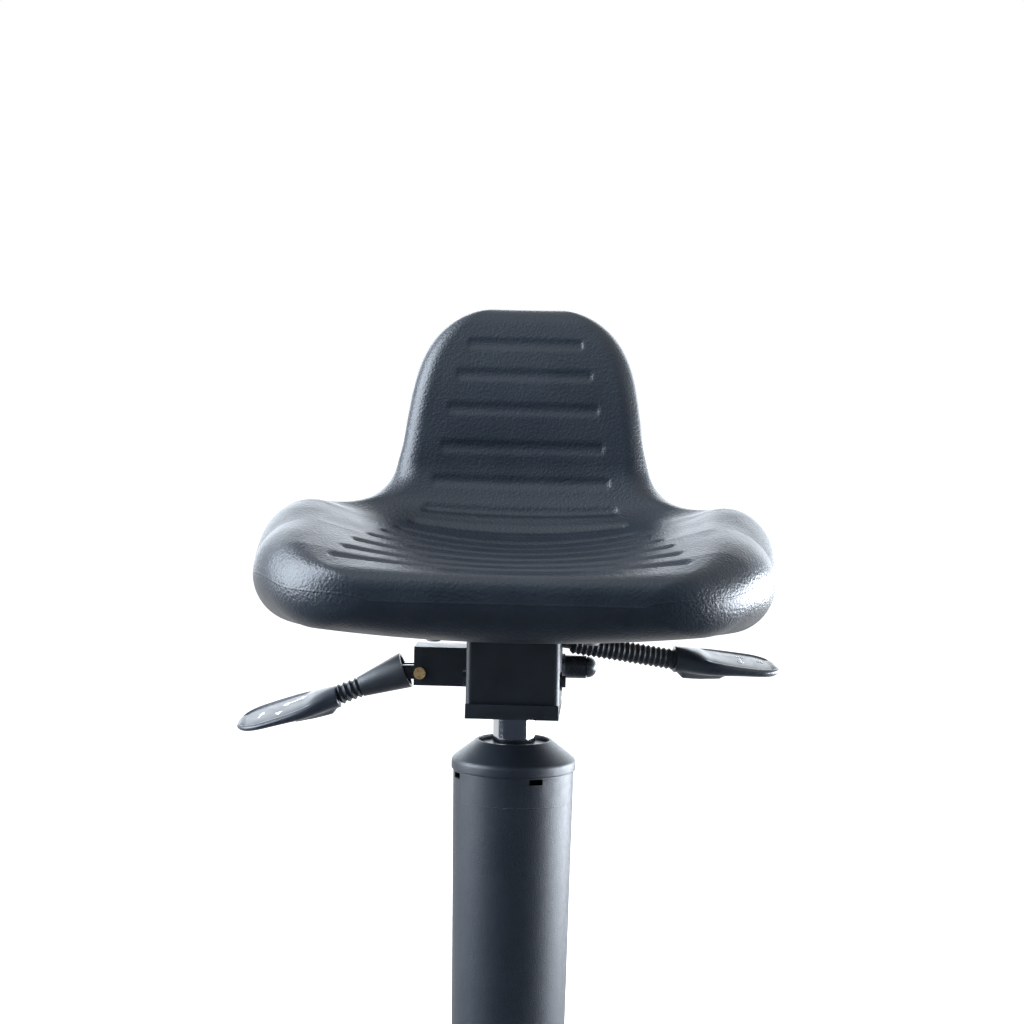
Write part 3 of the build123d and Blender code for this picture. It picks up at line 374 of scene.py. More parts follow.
material, tree, shader = finish("glide plastic", 0.5, specular=0.4)
tone(tree, shader, pattern(tree, 50), (0.03, 0.032, 0.036), (0.045, 0.048, 0.052))
polish(tree, shader, pattern(tree, 200, 4), 0.42, 0.6)
relief(tree, shader, (pattern(tree, 500, 5), 0.0001))
finishes["glide"] = material

material, tree, shader = finish("guide plastic", 0.4)
tone(tree, shader, pattern(tree, 50), (0.10, 0.10, 0.10), (0.13, 0.13, 0.13))
polish(tree, shader, pattern(tree, 150, 3), 0.34, 0.48)
relief(tree, shader, (pattern(tree, 700, 3), 0.00006))
finishes["guide"] = material

material, tree, shader = finish("stop rubber", 0.75, specular=0.3)
tone(tree, shader, pattern(tree, 90), (0.016, 0.016, 0.016), (0.028, 0.027, 0.026))
polish(tree, shader, pattern(tree, 300, 4), 0.66, 0.84)
relief(tree, shader, (pattern(tree, 900, 4), 0.00012))
finishes["rubber"] = material

# %% [markdown]
# ### Metals
# Powder coat on the brackets has a shallow orange-peel. The gas spring's tube is ground and chromed, so
# its scratches run round it and its reflection is nearly clean. Zinc plate is softer and mottled, and
# its yellow chromate on the lever's pin shifts from brass to straw.

# %% Coated steel
material, tree, shader = finish("powder coat", 0.42, specular=0.4, Coat_Weight=0.05, Coat_Roughness=0.25)
tone(tree, shader, pattern(tree, 60), (0.0062, 0.0088, 0.0125), (0.0090, 0.0120, 0.0165))
polish(tree, shader, pattern(tree, 120, 3), 0.38, 0.47)
relief(tree, shader, (pattern(tree, 420, 2), 0.00005), (pattern(tree, 1400, 2), 0.00002))
finishes["coat"] = material

material, tree, shader = finish("black steel", 0.28, metallic=0.35)
tone(tree, shader, pattern(tree, 130, 4), (0.018, 0.020, 0.024), (0.040, 0.043, 0.050))
polish(tree, shader, pattern(tree, 250, 4), 0.2, 0.36)
relief(tree, shader, (pattern(tree, 900, 3), 0.00004))
finishes["black steel"] = material

# %% Bright metals
material, tree, shader = finish("chromed tube", 0.09, metallic=1.0)
tone(tree, shader, pattern(tree, 40), (0.54, 0.56, 0.59), (0.62, 0.64, 0.67))
polish(tree, shader, pattern(tree, 900, 3, (0.1, 0.1, 1)), 0.06, 0.13)
relief(tree, shader, (pattern(tree, 2200, 2, (0.05, 0.05, 1)), 0.000012))
finishes["chrome"] = material

material, tree, shader = finish("zinc plate", 0.3, metallic=1.0)
tone(tree, shader, pattern(tree, 260, 4), (0.46, 0.48, 0.50), (0.62, 0.64, 0.66))
polish(tree, shader, pattern(tree, 420, 4), 0.22, 0.4)
relief(tree, shader, (pattern(tree, 900, 4), 0.00005))
finishes["zinc"] = material

material, tree, shader = finish("yellow zinc", 0.34, metallic=0.55)
tone(tree, shader, pattern(tree, 320, 4), (0.34, 0.21, 0.09), (0.56, 0.38, 0.18))
polish(tree, shader, pattern(tree, 420, 4), 0.22, 0.38)
relief(tree, shader, (pattern(tree, 1000, 4), 0.00005))
finishes["yellow zinc"] = material

material, tree, shader = finish("pressed board", 0.7, specular=0.3)
tone(tree, shader, pattern(tree, 45, 6, (1, 0.12, 1)), (0.12, 0.075, 0.042), (0.26, 0.175, 0.10))
polish(tree, shader, pattern(tree, 200, 4), 0.6, 0.8)
relief(tree, shader, (pattern(tree, 160, 6, (1, 0.1, 1)), 0.0002))
finishes["board"] = material

# %% Dress the frame's nodes
wear = {
    "nylon": ["star_base"],
    "glide": ["base_glides"],
    "cover": ["cover_tube", "cover_cap"],
    "lever": ["height_lever_paddle", "clamp_lever_paddle"],
    "sleeve": ["height_lever_sleeve", "clamp_lever_boot"],
    "guide": ["guide_bush", "rod_guide"],
    "rubber": ["bump_stop"],
    "coat": ["column_bracket", "seat_bracket", "clamp_box", "column_tube", "cone_socket", "lever_hinge"],
    "black steel": ["height_lever_rod", "clamp_lever_arm", "tilt_axle", "axle_clip", "rod_clip",
                    "spring_cup", "disc_springs"],
    "chrome": ["pressure_tube", "piston_rod", "release_pin"],
    "zinc": ["column_end", "piston_head", "thrust_bearing", "box_washer", "clamp_rod", "cup_washer",
             "dome_nut", "seat_bolts", "seat_inserts"],
    "yellow zinc": ["lever_pin"],
    "board": ["seat_board"],
    "foam": ["seat_foam"],
}
for name, members in wear.items():
    for member in members:
        for slot in nodes[member].material_slots:
            slot.material = finishes[name]
print("dressed", sum(len(members) for members in wear.values()), "nodes")

# %% [markdown]
# ## The foam seat and back
# Seat and back are one moulding: a fat cushion that turns up into a thin blade. It could be sculpted,
# or built from a rough cage and subdivided, but its real shape is a moulder's: a row of ribs along a
# spine that runs from the front lip, through the bend, up to the top edge. So the shell is a function of
# two numbers, the station along the spine and the way round the rib.

# %% Spine of the seat


def smooth_line(knots, values, at):
    """Cubic curve through the knots with no bending at its ends, read at many places at once."""
    step = np.diff(knots)
    rise = np.diff(values, axis=0) / step[:, None]
    count = len(knots)
    system, load = np.eye(count), np.zeros_like(values)
    inner = np.arange(1, count - 1)
    system[inner, inner - 1], system[inner, inner + 1] = step[:-1], step[1:]
    system[inner, inner] = 2 * (step[:-1] + step[1:])
    load[inner] = 3 * np.diff(rise, axis=0)
    bend = np.linalg.solve(system, load)
    span = np.clip(np.searchsorted(knots, at) - 1, 0, count - 2)
    run, width = (at - knots[span])[:, None], step[span][:, None]
    slope = rise[span] - width * (2 * bend[span] + bend[span + 1]) / 3
    return values[span] + run * (slope + run * (bend[span] + run * (bend[span + 1] - bend[span])
                                                / (3 * width)))


collar_height = 0.450
front_reach, crest_height = 0.146, 0.1225
seat_depth, bend_radius, back_curve = 0.126, 0.060, 0.300
seat_slope, back_angle = math.radians(4.0), math.radians(82.0)
bend_length = bend_radius * (back_angle - seat_slope)


def spine(station):
    """Straight and slightly rising, then a tight bend, then a blade that leans back in a wide arc.

    Returns y, z and the slope in radians at each station."""
    run = np.minimum(station, seat_depth)
    y = -front_reach + run * math.cos(seat_slope)
    z = collar_height + crest_height + run * math.sin(seat_slope)
    turn = seat_slope + np.clip((station - seat_depth) / bend_radius, 0, back_angle - seat_slope)
    y = y + bend_radius * (np.sin(turn) - math.sin(seat_slope))
    z = z + bend_radius * (math.cos(seat_slope) - np.cos(turn))
    lean = back_angle - np.maximum(station - seat_depth - bend_length, 0) / back_curve
    y = y + back_curve * (math.sin(back_angle) - np.sin(lean))
    z = z + back_curve * (np.cos(lean) - math.cos(back_angle))
    return y, z, np.where(station < seat_depth + bend_length, turn, lean)


# %% Sizes of the ribs along the spine
first_station, last_station = -0.0124, 0.3216
# station, thickness, half width, dish of the top, all in metres
rib_sizes = np.array([
    (-0.012, 0.0410, 0.1665, 0.0003),
    (0.012, 0.0437, 0.1665, 0.0083),
    (0.036, 0.0470, 0.1665, 0.0144),
    (0.060, 0.0506, 0.1666, 0.0183),
    (0.084, 0.0539, 0.1669, 0.0204),
    (0.108, 0.0579, 0.1673, 0.0236),
    (0.126, 0.0626, 0.1670, 0.0254),
    (0.140, 0.0688, 0.1660, 0.0243),
    (0.152, 0.0778, 0.1650, 0.0198),
    (0.162, 0.0853, 0.1552, 0.0136),
    (0.171, 0.0875, 0.1369, 0.0078),
    (0.180, 0.0813, 0.1150, 0.0051),
    (0.189, 0.0676, 0.0982, 0.0039),
    (0.198, 0.0516, 0.0887, 0.0029),
    (0.208, 0.0387, 0.0845, 0.0022),
    (0.220, 0.0318, 0.0817, 0.0014),
    (0.236, 0.0288, 0.0796, 0.0006),
    (0.256, 0.0274, 0.0770, 0.0003),
    (0.280, 0.0266, 0.0751, 0.0003),
    (0.320, 0.0260, 0.0745, 0.0003),
])


def rounding(distance, length, power):
    """0 at an end and 1 beyond length, along a quarter of a superellipse."""
    share = np.clip(distance / length, 0, 1)
    return (1 - (1 - share) ** power) ** (1 / power)


front_half_width, front_corner_length, front_corner_power = 0.0822, 0.1146, 2.19
top_half_width, top_corner_length, top_corner_power = 0.013, 0.0755, 2.49
lip_rise, lip_length = 0.0016, 0.055
shoulder_stations = (first_station, 0.03, 0.08, 0.15, 0.19, last_station)
shoulder_shares = (0.38, 0.477, 0.664, 0.417, 0.349, 0.695)


def rib_table(station):
    """Thickness, half width, dish, shoulder radius and drop of every rib.

    Both ends narrow along a superellipse. The first ribs shrink from above to a nose and from below to
    a chin, the last ones from both sides to the back's top edge. The drop is how far a rib's top lies
    below the spine."""
    thick, wide, dish = smooth_line(rib_sizes[:, 0], rib_sizes[:, 1:], station).T
    front, top = station - first_station, last_station - station
    wide = front_half_width + (wide - front_half_width) * rounding(front, front_corner_length,
                                                                   front_corner_power)
    wide = np.where(top < top_corner_length, top_half_width + (wide - top_half_width)
                    * rounding(top, top_corner_length, top_corner_power), wide)
    nose, chin = rounding(front, 0.017, 3.2), rounding(front, 0.034, 2.3)
    crown = rounding(top, 0.018, 2.2)
    lip = lip_rise * np.clip(1 - front / lip_length, 0, 1) ** 2
    thick = thick + lip
    drop = 0.40 * thick * (1 - nose)
    thick = thick - drop - 0.60 * thick * (1 - chin)
    drop = drop - lip
    drop = drop + thick * (1 - crown) * 0.5
    thick = thick * crown
    dish = dish * (0.35 + 0.65 * np.sqrt(np.clip(front / 0.040, 0, 1)))
    dish = np.maximum(dish * np.minimum(1, 3 * nose) * np.minimum(1, 3 * crown), 1e-5)
    share = np.interp(station, shoulder_stations, shoulder_shares)
    return thick, wide, dish, share * thick + 1e-7, drop


# %% [markdown]
# One rib is six arcs that run into each other: a hollow top, two round shoulders, two lower corners and
# a crowned underside. Arcs that touch with a common tangent need no fitting: the centres and radii
# follow from the width, the thickness and the dish.

# %% Shell of the seat
rib_rows, top_cells, shoulder_cells, corner_cells, under_cells = 318, 104, 34, 40, 60
lower_corner_share = 0.82


def seat_shell(station):
    """Points of the shell, rows along the spine and columns round the rib, starting at the left crest.

    Also returns each point's outward direction in the rib's plane. In the bend the ribs fan out evenly,
    so that they don't cross."""
    thick, wide, dish, shoulder, drop = (value[:, None] for value in rib_table(station))
    hollow = ((wide - shoulder) ** 2 + dish ** 2) / (2 * dish) - shoulder
    top_turn = np.arcsin((wide - shoulder) / (hollow + shoulder))
    side = dish - shoulder
    depth = thick + side
    corner = lower_corner_share * depth
    crown = ((wide - corner) ** 2 + depth ** 2 - corner ** 2) / (2 * (depth - corner))
    low_turn = np.arcsin((wide - corner) / (crown - corner))

    def share(count):
        return np.linspace(0, 1, count, endpoint=False)[None, :]

    def arc(centre_x, centre_z, radius, start, end, count, inward=False):
        angle = start + (end - start) * share(count)
        x, z = np.cos(angle), np.sin(angle)
        sign = -1 if inward else 1
        return centre_x + radius * x, centre_z + radius * z, sign * x, sign * z

    quarter = math.pi / 2
    right = [
        arc(wide - shoulder, side, shoulder, quarter + top_turn, 0, shoulder_cells),
        arc(wide - corner, side, corner, 0, low_turn - quarter, corner_cells)]
    arcs = [
        arc(0, hollow, hollow, -quarter - top_turn, top_turn - quarter, top_cells, inward=True),
        *right,
        arc(0, crown - thick, crown, low_turn - quarter, -low_turn - quarter, under_cells),
        arc(corner - wide, side, corner, -low_turn - quarter, -2 * quarter, corner_cells),
        arc(shoulder - wide, side, shoulder, 2 * quarter, quarter - top_turn, shoulder_cells)]
    x, up, out_x, out_up = (np.concatenate(parts, axis=1) for parts in zip(*arcs))
    y, z, slope = (value[:, None] for value in spine(station))
    fan = (slope - seat_slope) * back_angle / (back_angle - seat_slope)
    lean = np.where(station[:, None] < seat_depth + bend_length, fan, slope)
    rise = up - drop
    points = np.stack([x, y - rise * np.sin(lean), z + rise * np.cos(lean)], axis=-1)
    outward = np.stack([out_x, -out_up * np.sin(lean), out_up * np.cos(lean)], axis=-1)
    return points, outward


def seam_distance(shell):
    """Way over the surface from each point to the mould's parting line.

    The line runs along both ends of the ribs, where shoulder and lower corner meet, and round the first
    rib. Columns far from it keep a large value."""
    step = np.linalg.norm(np.diff(shell, axis=1, append=shell[:, :1]), axis=2)
    around = np.cumsum(step, axis=1) - step
    right = top_cells + shoulder_cells
    left = shell.shape[1] - shoulder_cells
    to_right = np.abs(around - around[:, right:right + 1])
    to_left = np.abs(around - around[:, left:left + 1])
    ahead = np.linalg.norm(np.diff(shell, axis=0), axis=2)
    to_front = np.vstack([np.zeros(shell.shape[1]), np.cumsum(ahead, axis=0)])
    return np.minimum(np.minimum(to_right, to_left), to_front)


spread = (1 - np.cos(np.linspace(0, math.pi, rib_rows))) / 2
even = np.linspace(0, 1, rib_rows)
station = first_station + (last_station - first_station) * (0.75 * spread + 0.25 * even)
station[0], station[-1] = first_station, last_station
shell, outward = seat_shell(station)
print("shell:", shell.shape, "from", shell.reshape(-1, 3).min(axis=0).round(4),
      "to", shell.reshape(-1, 3).max(axis=0).round(4))

# %% [markdown]
# ### Grooves
# Thirteen shallow grooves with blunt ends cross the seat and back and let air in. A groove is the set of
# points near a line across the rib, so its depth depends only on the distance from that line: a smooth
# valley. They could be cut with a boolean, which would leave sharp edges and long thin faces on a
# surface that has to shine evenly.

# %% Press the grooves in
groove_stations = np.array([.290, .2675, .2435, .2172, .1930, .170, .151, .129, .1065, .084, .061, .0395,
                            .019])
groove_halves = np.array([.040, .047, .052, .056, .0605, .066, .072, .079, .086, .093, .100, .105, .110])
groove_half_width, groove_edge, groove_end_steepness = 0.0058, 0.90, 2.2
back_depth, seat_groove_depth = 0.0009, 0.0016


def smooth_step(value):
    """0 below 0, 1 above 1, with no kink in between."""
    value = np.clip(value, 0, 1)
    return value * value * (3 - 2 * value)


def groove_depths(station, across, on_top):
    """Depth at each point from its distance to the nearest groove's middle line.

    Distances past a line's end count more, so the ends are steeper than the sides."""
    along = station[:, None, None] - groove_stations[None, None, :]
    end = groove_halves - groove_half_width / groove_end_steepness
    beyond = groove_end_steepness * np.maximum(np.abs(across)[:, :, None] - end, 0)
    distance = np.hypot(along, beyond).min(axis=2)
    wall = smooth_step((1 - distance / groove_half_width) / groove_edge)
    depth = np.interp(station, (0.16, 0.20), (seat_groove_depth, back_depth))[:, None]
    return depth * wall * on_top


on_top = np.zeros(shell.shape[1])
on_top[:top_cells] = 1
sunk = groove_depths(station, shell[:, :, 0], on_top[None, :])
points = shell - outward * sunk[:, :, None]
# The shell is flat where it sits on the board and the bracket.
underside, underside_back = collar_height + 0.0783, 0.09
flat = (points[:, :, 2] < underside) & (points[:, :, 1] < underside_back)
points[:, :, 2] = np.where(flat, underside, points[:, :, 2])
print("deepest groove:", round(float(sunk.max()) * 1000, 2), "mm")

# %% Make the seat
seat = grid_mesh("seat_skin", points, wrap_columns=True)
seat.data.attributes.new("seam", "FLOAT", "POINT").data.foreach_set(
    "value", seam_distance(shell).ravel())


def close_ends(thing, distance=1e-5):
    """Merges the rows that have shrunk to a line and turns all faces outward."""
    work = bmesh.new()
    work.from_mesh(thing.data)
    bmesh.ops.remove_doubles(work, verts=work.verts, dist=distance)
    bmesh.ops.recalc_face_normals(work, faces=work.faces)
    work.to_mesh(thing.data)
    work.free()
    thing.data.polygons.foreach_set("use_smooth", np.ones(len(thing.data.polygons), bool))


close_ends(seat)
seat.data.materials.append(finishes["foam"])
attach(seat, "seat")
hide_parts("seat_foam")
print("seat:", len(seat.data.polygons), "faces")

# %% [markdown]
# ## Hand paddles
# Each lever ends in a leaf that starts round, widens and flattens, with a raised rim, a hollow for the
# fingers and a rounded lug underneath. A sculptor would pull it out of a cylinder. Here its cross-section
# is a superellipse whose half width, top and bottom follow a table along the leaf, and the hollow and the
# lug are bumps added to that section, so both leaves come from one table.

# %% Frames of the levers


def lever_frame(across, sweep, droop):
    """Rows: a lever's side, its upper side and its way out.

    It points along +X or -X (across is 1 or -1), swept back and drooping by angles in degrees."""
    sweep, droop = math.radians(sweep), math.radians(droop)
    out = np.array([across * math.cos(droop) * math.cos(sweep), math.cos(droop) * math.sin(sweep),
                    -math.sin(droop)])
    side = np.cross((0, 0, 1), out)
    side = side / np.linalg.norm(side)
    return np.stack([side, np.cross(out, side), out])


def leaf_frame(line, rise, roll):
    """A lever's frame tipped up and then rolled about its own length, by angles in degrees."""
    rise, roll = math.radians(rise), math.radians(roll)
    tip_up = np.array([[1, 0, 0], [0, math.cos(rise), -math.sin(rise)],
                       [0, math.sin(rise), math.cos(rise)]])
    about = np.array([[math.cos(roll), math.sin(roll), 0], [-math.sin(roll), math.cos(roll), 0],
                      [0, 0, 1]])
    return about @ tip_up @ line


# %% Leaf of a paddle
# station share, half width share, top share, bottom share, droop share
leaf_shares = np.array([
    (0.00, 0.46, 0.92, 0.92, 0.00), (0.10, 0.60, 0.88, 0.90, 0.00), (0.28, 0.86, 0.66, 0.84, 0.02),
    (0.50, 1.00, 0.44, 0.66, 0.06), (0.72, 1.00, 0.34, 0.52, 0.14), (0.90, 0.92, 0.30, 0.46, 0.24),
    (1.00, 0.80, 0.26, 0.42, 0.33)])
lug_stations, lug_shares, lug_half_width_share = (0.03, 0.09, 0.44, 0.56), (0.0, 0.42, 0.46, 0.0), 0.21


def leaf_section(station, length, root, width):
    """Half width, top, bottom, droop and squareness at shares of the leaf's length.

    The table's shares are of half the width and of the root's radius. The tip is rounded in plan over
    its last 30% and in height over its last 12%. Squareness is the superellipse's power."""
    half, top, bottom, droop = smooth_line(leaf_shares[:, 0], leaf_shares[:, 1:], station).T
    end = rounding(1 - station, 0.30, 2.3)
    edge = rounding(1 - station, 0.12, 2.0)
    square = 2.0 + 0.7 * smooth_step(station / 0.4)
    return half * end * width / 2, top * edge * root, bottom * edge * root, droop * root, square


def hollow_depth(station, share, deep=0.0013):
    """Depth of the finger hollow at a share of the length and of the half width."""
    along = smooth_step((station - 0.20) / 0.14) * smooth_step((0.965 - station) / 0.07)
    return deep * along * smooth_step((0.86 - np.abs(share)) / 0.16)


def leaf_skin(name, axes, start, length, root, width, rows=110, columns=120):
    """Closed skin of a leaf. The first row is drawn together on the middle line and closes the root."""
    station = np.linspace(0, 1, rows) ** 0.9
    half, top, bottom, droop, square = (value[:, None] for value in
                                        leaf_section(station, length, root, width))
    angle = np.linspace(0, 2 * math.pi, columns, endpoint=False)[None, :]
    cosine, sine = np.cos(angle), np.sin(angle)
    across = np.sign(cosine) * np.abs(cosine) ** (2 / square)
    upward = np.abs(sine) ** (2 / square)
    up = np.where(sine > 0, top * upward - hollow_depth(station[:, None], across), -bottom * upward)
    lug = np.interp(station, lug_stations, lug_shares)[:, None] * root
    lug = lug * smooth_step(1.7 * (1 - np.abs(across * half) / (lug_half_width_share * width)))
    up = np.where(sine > 0, up, up - lug * smooth_step(upward))
    run = np.broadcast_to(station[:, None], up.shape) * length
    local = np.stack([across * half, up - droop, run], axis=-1)
    local = np.concatenate([local[:1] * (1e-3, 1e-3, 1), local], axis=0)
    skin = grid_mesh(name, start + local @ axes, wrap_columns=True)
    close_ends(skin)
    return skin


# %% Make both leaves
clamp_pin = (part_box("clamp_box")[0].x + 0.004, 0.026, 0.4906)
lever_hinge = (0.030, 0.0, 0.516)
# Origin, direction of the lever, the leaf's start above and along it, its turns and its sizes
lever_sizes = {
    "clamp_lever": dict(origin=clamp_pin, across=-1, sweep=0.0, droop=22.1, up=0.0034, out=0.0588,
                        rise=7.0, roll=-13.0, length=0.072, root=0.0078, width=0.041),
    "height_lever": dict(origin=lever_hinge, across=1, sweep=14.0, droop=9.2, up=0.0004, out=0.0785,
                         rise=6.4, roll=12.0, length=0.073, root=0.0094, width=0.038),
}
leaves = {}
for body, size in lever_sizes.items():
    line = lever_frame(size["across"], size["sweep"], size["droop"])
    start = np.array(size["origin"]) + size["up"] * line[1] + size["out"] * line[2]
    axes = leaf_frame(line, size["rise"], size["roll"])
    leaves[body] = (axes, start, size["length"], size["root"], size["width"])
    skin = leaf_skin(body + "_leaf", *leaves[body])
    skin.data.materials.append(finishes["lever"])
    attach(skin, body)
    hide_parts(body + "_paddle")
    print(skin.name, len(skin.data.polygons), "faces")

# %% [markdown]
# Plain arrows on the leaves say which way each lever works. An arrow is a strip along its own line: the
# half width grows from 0 over the head, drops to the shaft and so on. It is laid on the leaf's hollow
# and sunk a little into it, so it is a thin solid like pad print. A picture on the leaf's material would
# do as well, but a solid follows the hollow by itself.

# %% Arrows
# Way along the arrow's line and half width there, in metres
double_arrow = np.array([(0, 0), (0.0042, 0.0026), (0.0042, 0.0007), (0.0138, 0.0007),
                         (0.0138, 0.0026), (0.0180, 0)])
single_arrow = np.array([(0, 0), (0.0038, 0.0025), (0.0038, 0.0007), (0.0090, 0.0007), (0.0091, 0)])
wedge = np.array([(0, 0), (0.0046, 0.0028), (0.0047, 0)])


def arrow(name, lever, outline, along, across, turn, thick=0.00012, columns=9):
    """Thin arrow whose middle is at (along, across) on a leaf, turned from the leaf's length.

    The outline's sides are divided in four. Each point's height is the leaf's own surface there: the
    superellipse's top, less the hollow and the droop."""
    axes, start, length, root, width = leaves[lever]
    quarters = np.array([0.25, 0.5, 0.75, 1.0])[None, :, None]
    sides = outline[:-1, None] + np.diff(outline, axis=0)[:, None] * quarters
    rows = np.vstack([outline[:1], sides.reshape(-1, 2)])
    ahead = np.broadcast_to((rows[:, 0] - outline[-1, 0] / 2)[:, None], (len(rows), columns))
    aside = rows[:, 1][:, None] * np.linspace(-1, 1, columns)[None, :]
    run = along + ahead * math.cos(turn) - aside * math.sin(turn)
    side = across + ahead * math.sin(turn) + aside * math.cos(turn)
    half, top, _, droop, square = leaf_section((run / length).ravel(), length, root, width)
    share = np.clip(np.abs(side.ravel()) / half, 0, 0.99)
    up = top * (1 - share ** square) ** (1 / square) - hollow_depth(run.ravel() / length, share) - droop
    up = up.reshape(run.shape)
    upper = np.stack([side, up + thick, run], axis=-1)
    lower = np.stack([side, up - thick, run], axis=-1)[:, ::-1]
    mark = grid_mesh(name, start + np.concatenate([upper, lower], axis=1) @ axes, wrap_columns=True)
    close_ends(mark, 1e-7)
    mark.data.materials.append(finishes["print"])
    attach(mark, lever)


arrow("tilt_arrow", "clamp_lever", double_arrow, 0.030, -0.0045, 0.1)
arrow("tilt_wedge", "clamp_lever", wedge, 0.041, 0.0085, -1.57)
arrow("tilt_arrow_small", "clamp_lever", single_arrow, 0.054, 0.0010, 1.2)
arrow("height_arrow", "height_lever", double_arrow, 0.046, 0.001, 1.4)
arrow("height_wedge", "height_lever", wedge, 0.060, 0.002, 0.2)
print("arrows and wedges on", sorted(leaves))

# %% [markdown]
# ## Turned pieces
# The dome nut, the column's cap and the gas spring's tube are turned. Their outlines are corners with a
# radius each, and a rounded corner is the arc that touches both its sides. A curve with a screw modifier
# would turn them too, but corners with radii are how a turner's drawing gives them.

# %% Turned skins


def rounded(corners, steps=8):
    """Outline points from (x, y, radius) corners. The ends stay sharp.

    The arc's centre lies on the corner's bisector, at radius over the sine of half the angle."""
    corners = np.array(corners, float)
    points = [corners[0, :2]]
    for before, (x, y, radius), after in zip(corners[:-2], corners[1:-1], corners[2:]):
        here = np.array([x, y])
        a, b = before[:2] - here, after[:2] - here
        a, b = a / np.linalg.norm(a), b / np.linalg.norm(b)
        half = math.acos(np.clip(a @ b, -1, 1)) / 2
        if radius == 0 or math.pi / 2 - half < 1e-3:
            points.append(here)
            continue
        centre = here + (a + b) / np.linalg.norm(a + b) * radius / math.sin(half)
        first = here + a * radius / math.tan(half) - centre
        last = here + b * radius / math.tan(half) - centre
        whole = math.pi - 2 * half
        for share in np.linspace(0, 1, steps):
            points.append(centre + (math.sin((1 - share) * whole) * first
                                    + math.sin(share * whole) * last) / math.sin(whole))
    return np.array(points + [corners[-1, :2]])


def turned_skin(name, outline, centre, axis, side, count):
    """Skin turned round an axis from (radius, distance along the axis) points."""
    axis, side = np.array(axis, float), np.array(side, float)
    third = np.cross(axis, side)
    angle = np.linspace(0, 2 * math.pi, count, endpoint=False)
    ring = np.cos(angle)[:, None] * side + np.sin(angle)[:, None] * third
    points = centre + outline[:, 1][:, None, None] * axis + outline[:, 0][:, None, None] * ring[None]
    skin = grid_mesh(name, points, wrap_columns=True)
    close_ends(skin, 1e-6)
    return skin


# %% Dome nut
cup_low, cup_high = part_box("spring_cup")
rod_line = np.array([0.0, (cup_low.y + cup_high.y) / 2, (cup_low.z + cup_high.z) / 2])
foot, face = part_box("dome_nut")[0].x, cup_high.x + 0.0003
neck_radius, dome_radius = 0.0060, 0.0071
dome = rounded([
    (0, foot, 0), (neck_radius, foot, 0), (neck_radius, face, 0), (dome_radius, face, 0.0003),
    (dome_radius, face + 0.0065, 0.0060), (0, face + 0.0067, 0)], 16)
nut = turned_skin("dome_nut_skin", dome, rod_line, (1, 0, 0), (0, 1, 0), 96)
nut.data.materials.append(finishes["lever"])
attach(nut, "clamp")
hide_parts("dome_nut")
print(nut.name, "from x", round(foot, 4))

# %% [markdown]
# The cap is a cone with a rim round the standing tube, a soft shoulder, a band, and a spigot that reaches
# down into the cover. The spigot is narrow enough to leave the cover's clip windows dark.

# %% Column cap
cap_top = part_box("cover_cap")[1].z
rim_radius, cone_radius, band_radius = 0.0234, 0.0250, 0.0412
spigot_radius, spigot_bore = 0.0345, 0.0330
rim_foot, band_top, band_foot, spigot_foot = (
    cap_top - depth for depth in (0.0060, 0.0126, 0.0194, 0.0300))
cap = rounded([
    (rim_radius, rim_foot, 0), (rim_radius, cap_top, 0.0005), (cone_radius, cap_top, 0.0007),
    (band_radius, band_top, 0.0042), (band_radius, band_foot, 0.0006), (spigot_radius, band_foot, 0),
    (spigot_radius, spigot_foot, 0), (spigot_bore, spigot_foot, 0),
    (spigot_bore, cap_top - 0.0120, 0.0020), (cone_radius, rim_foot, 0), (rim_radius, rim_foot, 0)])
hood = turned_skin("cover_cap_skin", cap, np.zeros(3), (0, 0, 1), (1, 0, 0), 192)
hood.data.materials.append(finishes["cover"])
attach(hood, "base")
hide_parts("cover_cap")
print(hood.name, "to z", round(cap_top, 4))

# %% [markdown]
# Chrome shows every facet, so the gas spring's tube is turned again with many more sides than the CAD
# model gives it. Its upper end is a slow cone with a bore for the valve's pin.

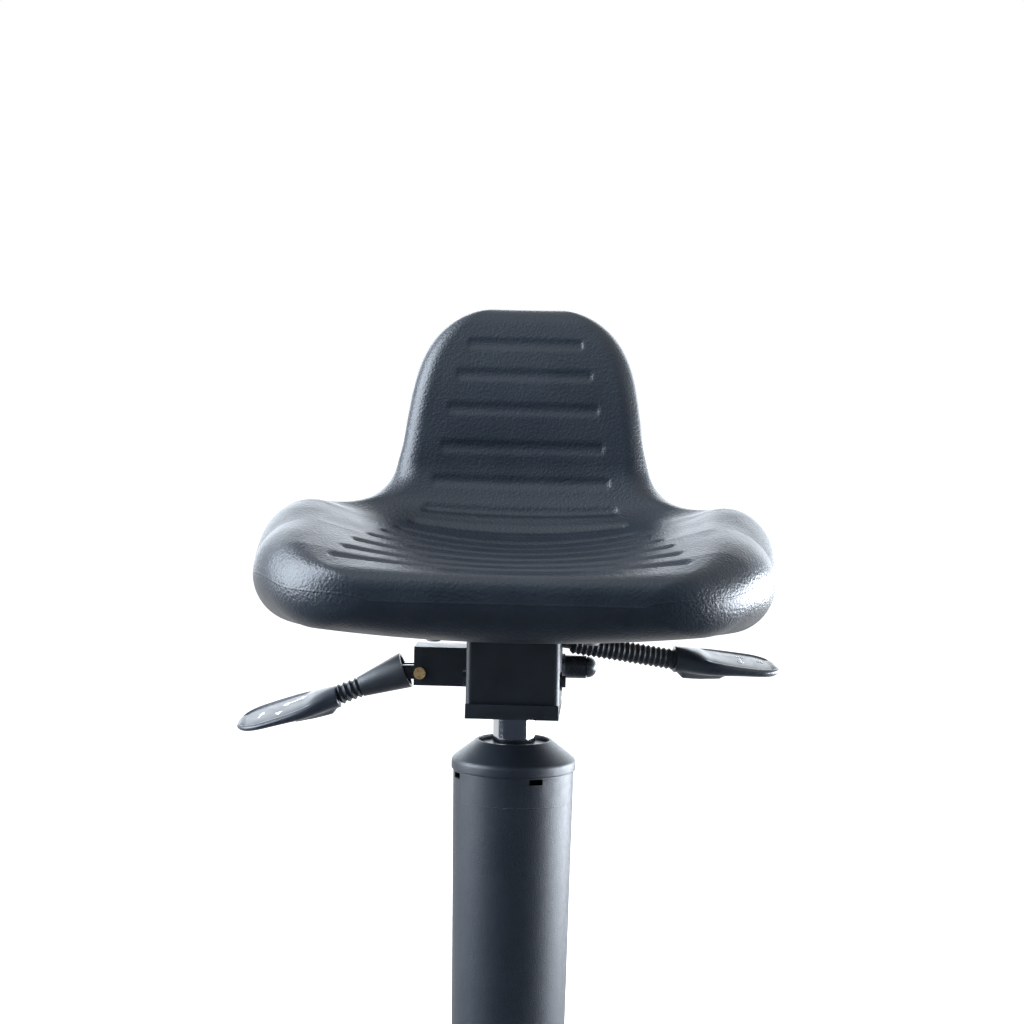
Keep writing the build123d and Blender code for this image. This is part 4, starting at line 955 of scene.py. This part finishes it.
# %% Gas spring tube
low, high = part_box("pressure_tube")
tube_radius, cone_end_radius, tube_bore, pin_bore = 0.0140, 0.0130, 0.0120, 0.00305
cone_foot, bore_floor, floor_thickness = 0.4695, high.z - 0.019, 0.002
tube = rounded([
    (tube_bore, low.z, 0), (tube_radius, low.z, 0.0004), (tube_radius, low.z + 0.001, 0),
    (tube_radius, cone_foot - 0.0005, 0), (tube_radius, cone_foot, 0),
    (cone_end_radius, high.z - 0.0005, 0), (cone_end_radius, high.z, 0.0003), (pin_bore, high.z, 0),
    (pin_bore, bore_floor, 0), (0, bore_floor, 0), (0, bore_floor - floor_thickness, 0),
    (tube_bore, bore_floor - floor_thickness, 0), (tube_bore, low.z, 0)])
spring = turned_skin("pressure_tube_skin", tube, np.zeros(3), (0, 0, 1), (1, 0, 0), 160)
spring.data.materials.append(finishes["chrome"])
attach(spring, "lift")
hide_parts("pressure_tube")
print(spring.name, "from z", round(low.z, 4), "to", round(high.z, 4))

# %% [markdown]
# The plate under the bracket is folded up at its front and stands just in front of the bracket's own
# face. It is a box of eight corners, and a bevel modifier rounds its edges as a press brake does.

# %% Folded lip
lip_back, lip_front, lip_height, lip_edge = -0.0430, -0.0443, 0.0098, 0.0006


def slab(name, low, high, radius):
    """Box with rounded edges from its lowest and highest corner."""
    corners = np.array([[(x, y, z) for x in (low[0], high[0])]
                        for z, y in ((low[2], low[1]), (low[2], high[1]), (high[2], high[1]),
                                     (high[2], low[1]))])
    faces = [(0, 1, 3, 2), (2, 3, 5, 4), (4, 5, 7, 6), (6, 7, 1, 0), (0, 2, 4, 6), (1, 7, 5, 3)]
    mesh = bpy.data.meshes.new(name)
    mesh.from_pydata(corners.reshape(-1, 3), [], faces)
    thing = bpy.data.objects.new(name, mesh)
    scene.collection.objects.link(thing)
    close_ends(thing)
    edge = thing.modifiers.new("round edges", "BEVEL")
    edge.width, edge.segments = radius, 3
    return thing


low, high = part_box("column_bracket")
lip = slab("bracket_lip", (low.x, lip_front, low.z), (high.x, lip_back, low.z + lip_height), lip_edge)
lip.data.materials.append(finishes["coat"])
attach(lip, "lift")
print(lip.name, [round(value, 4) for value in (low.x, low.z)])
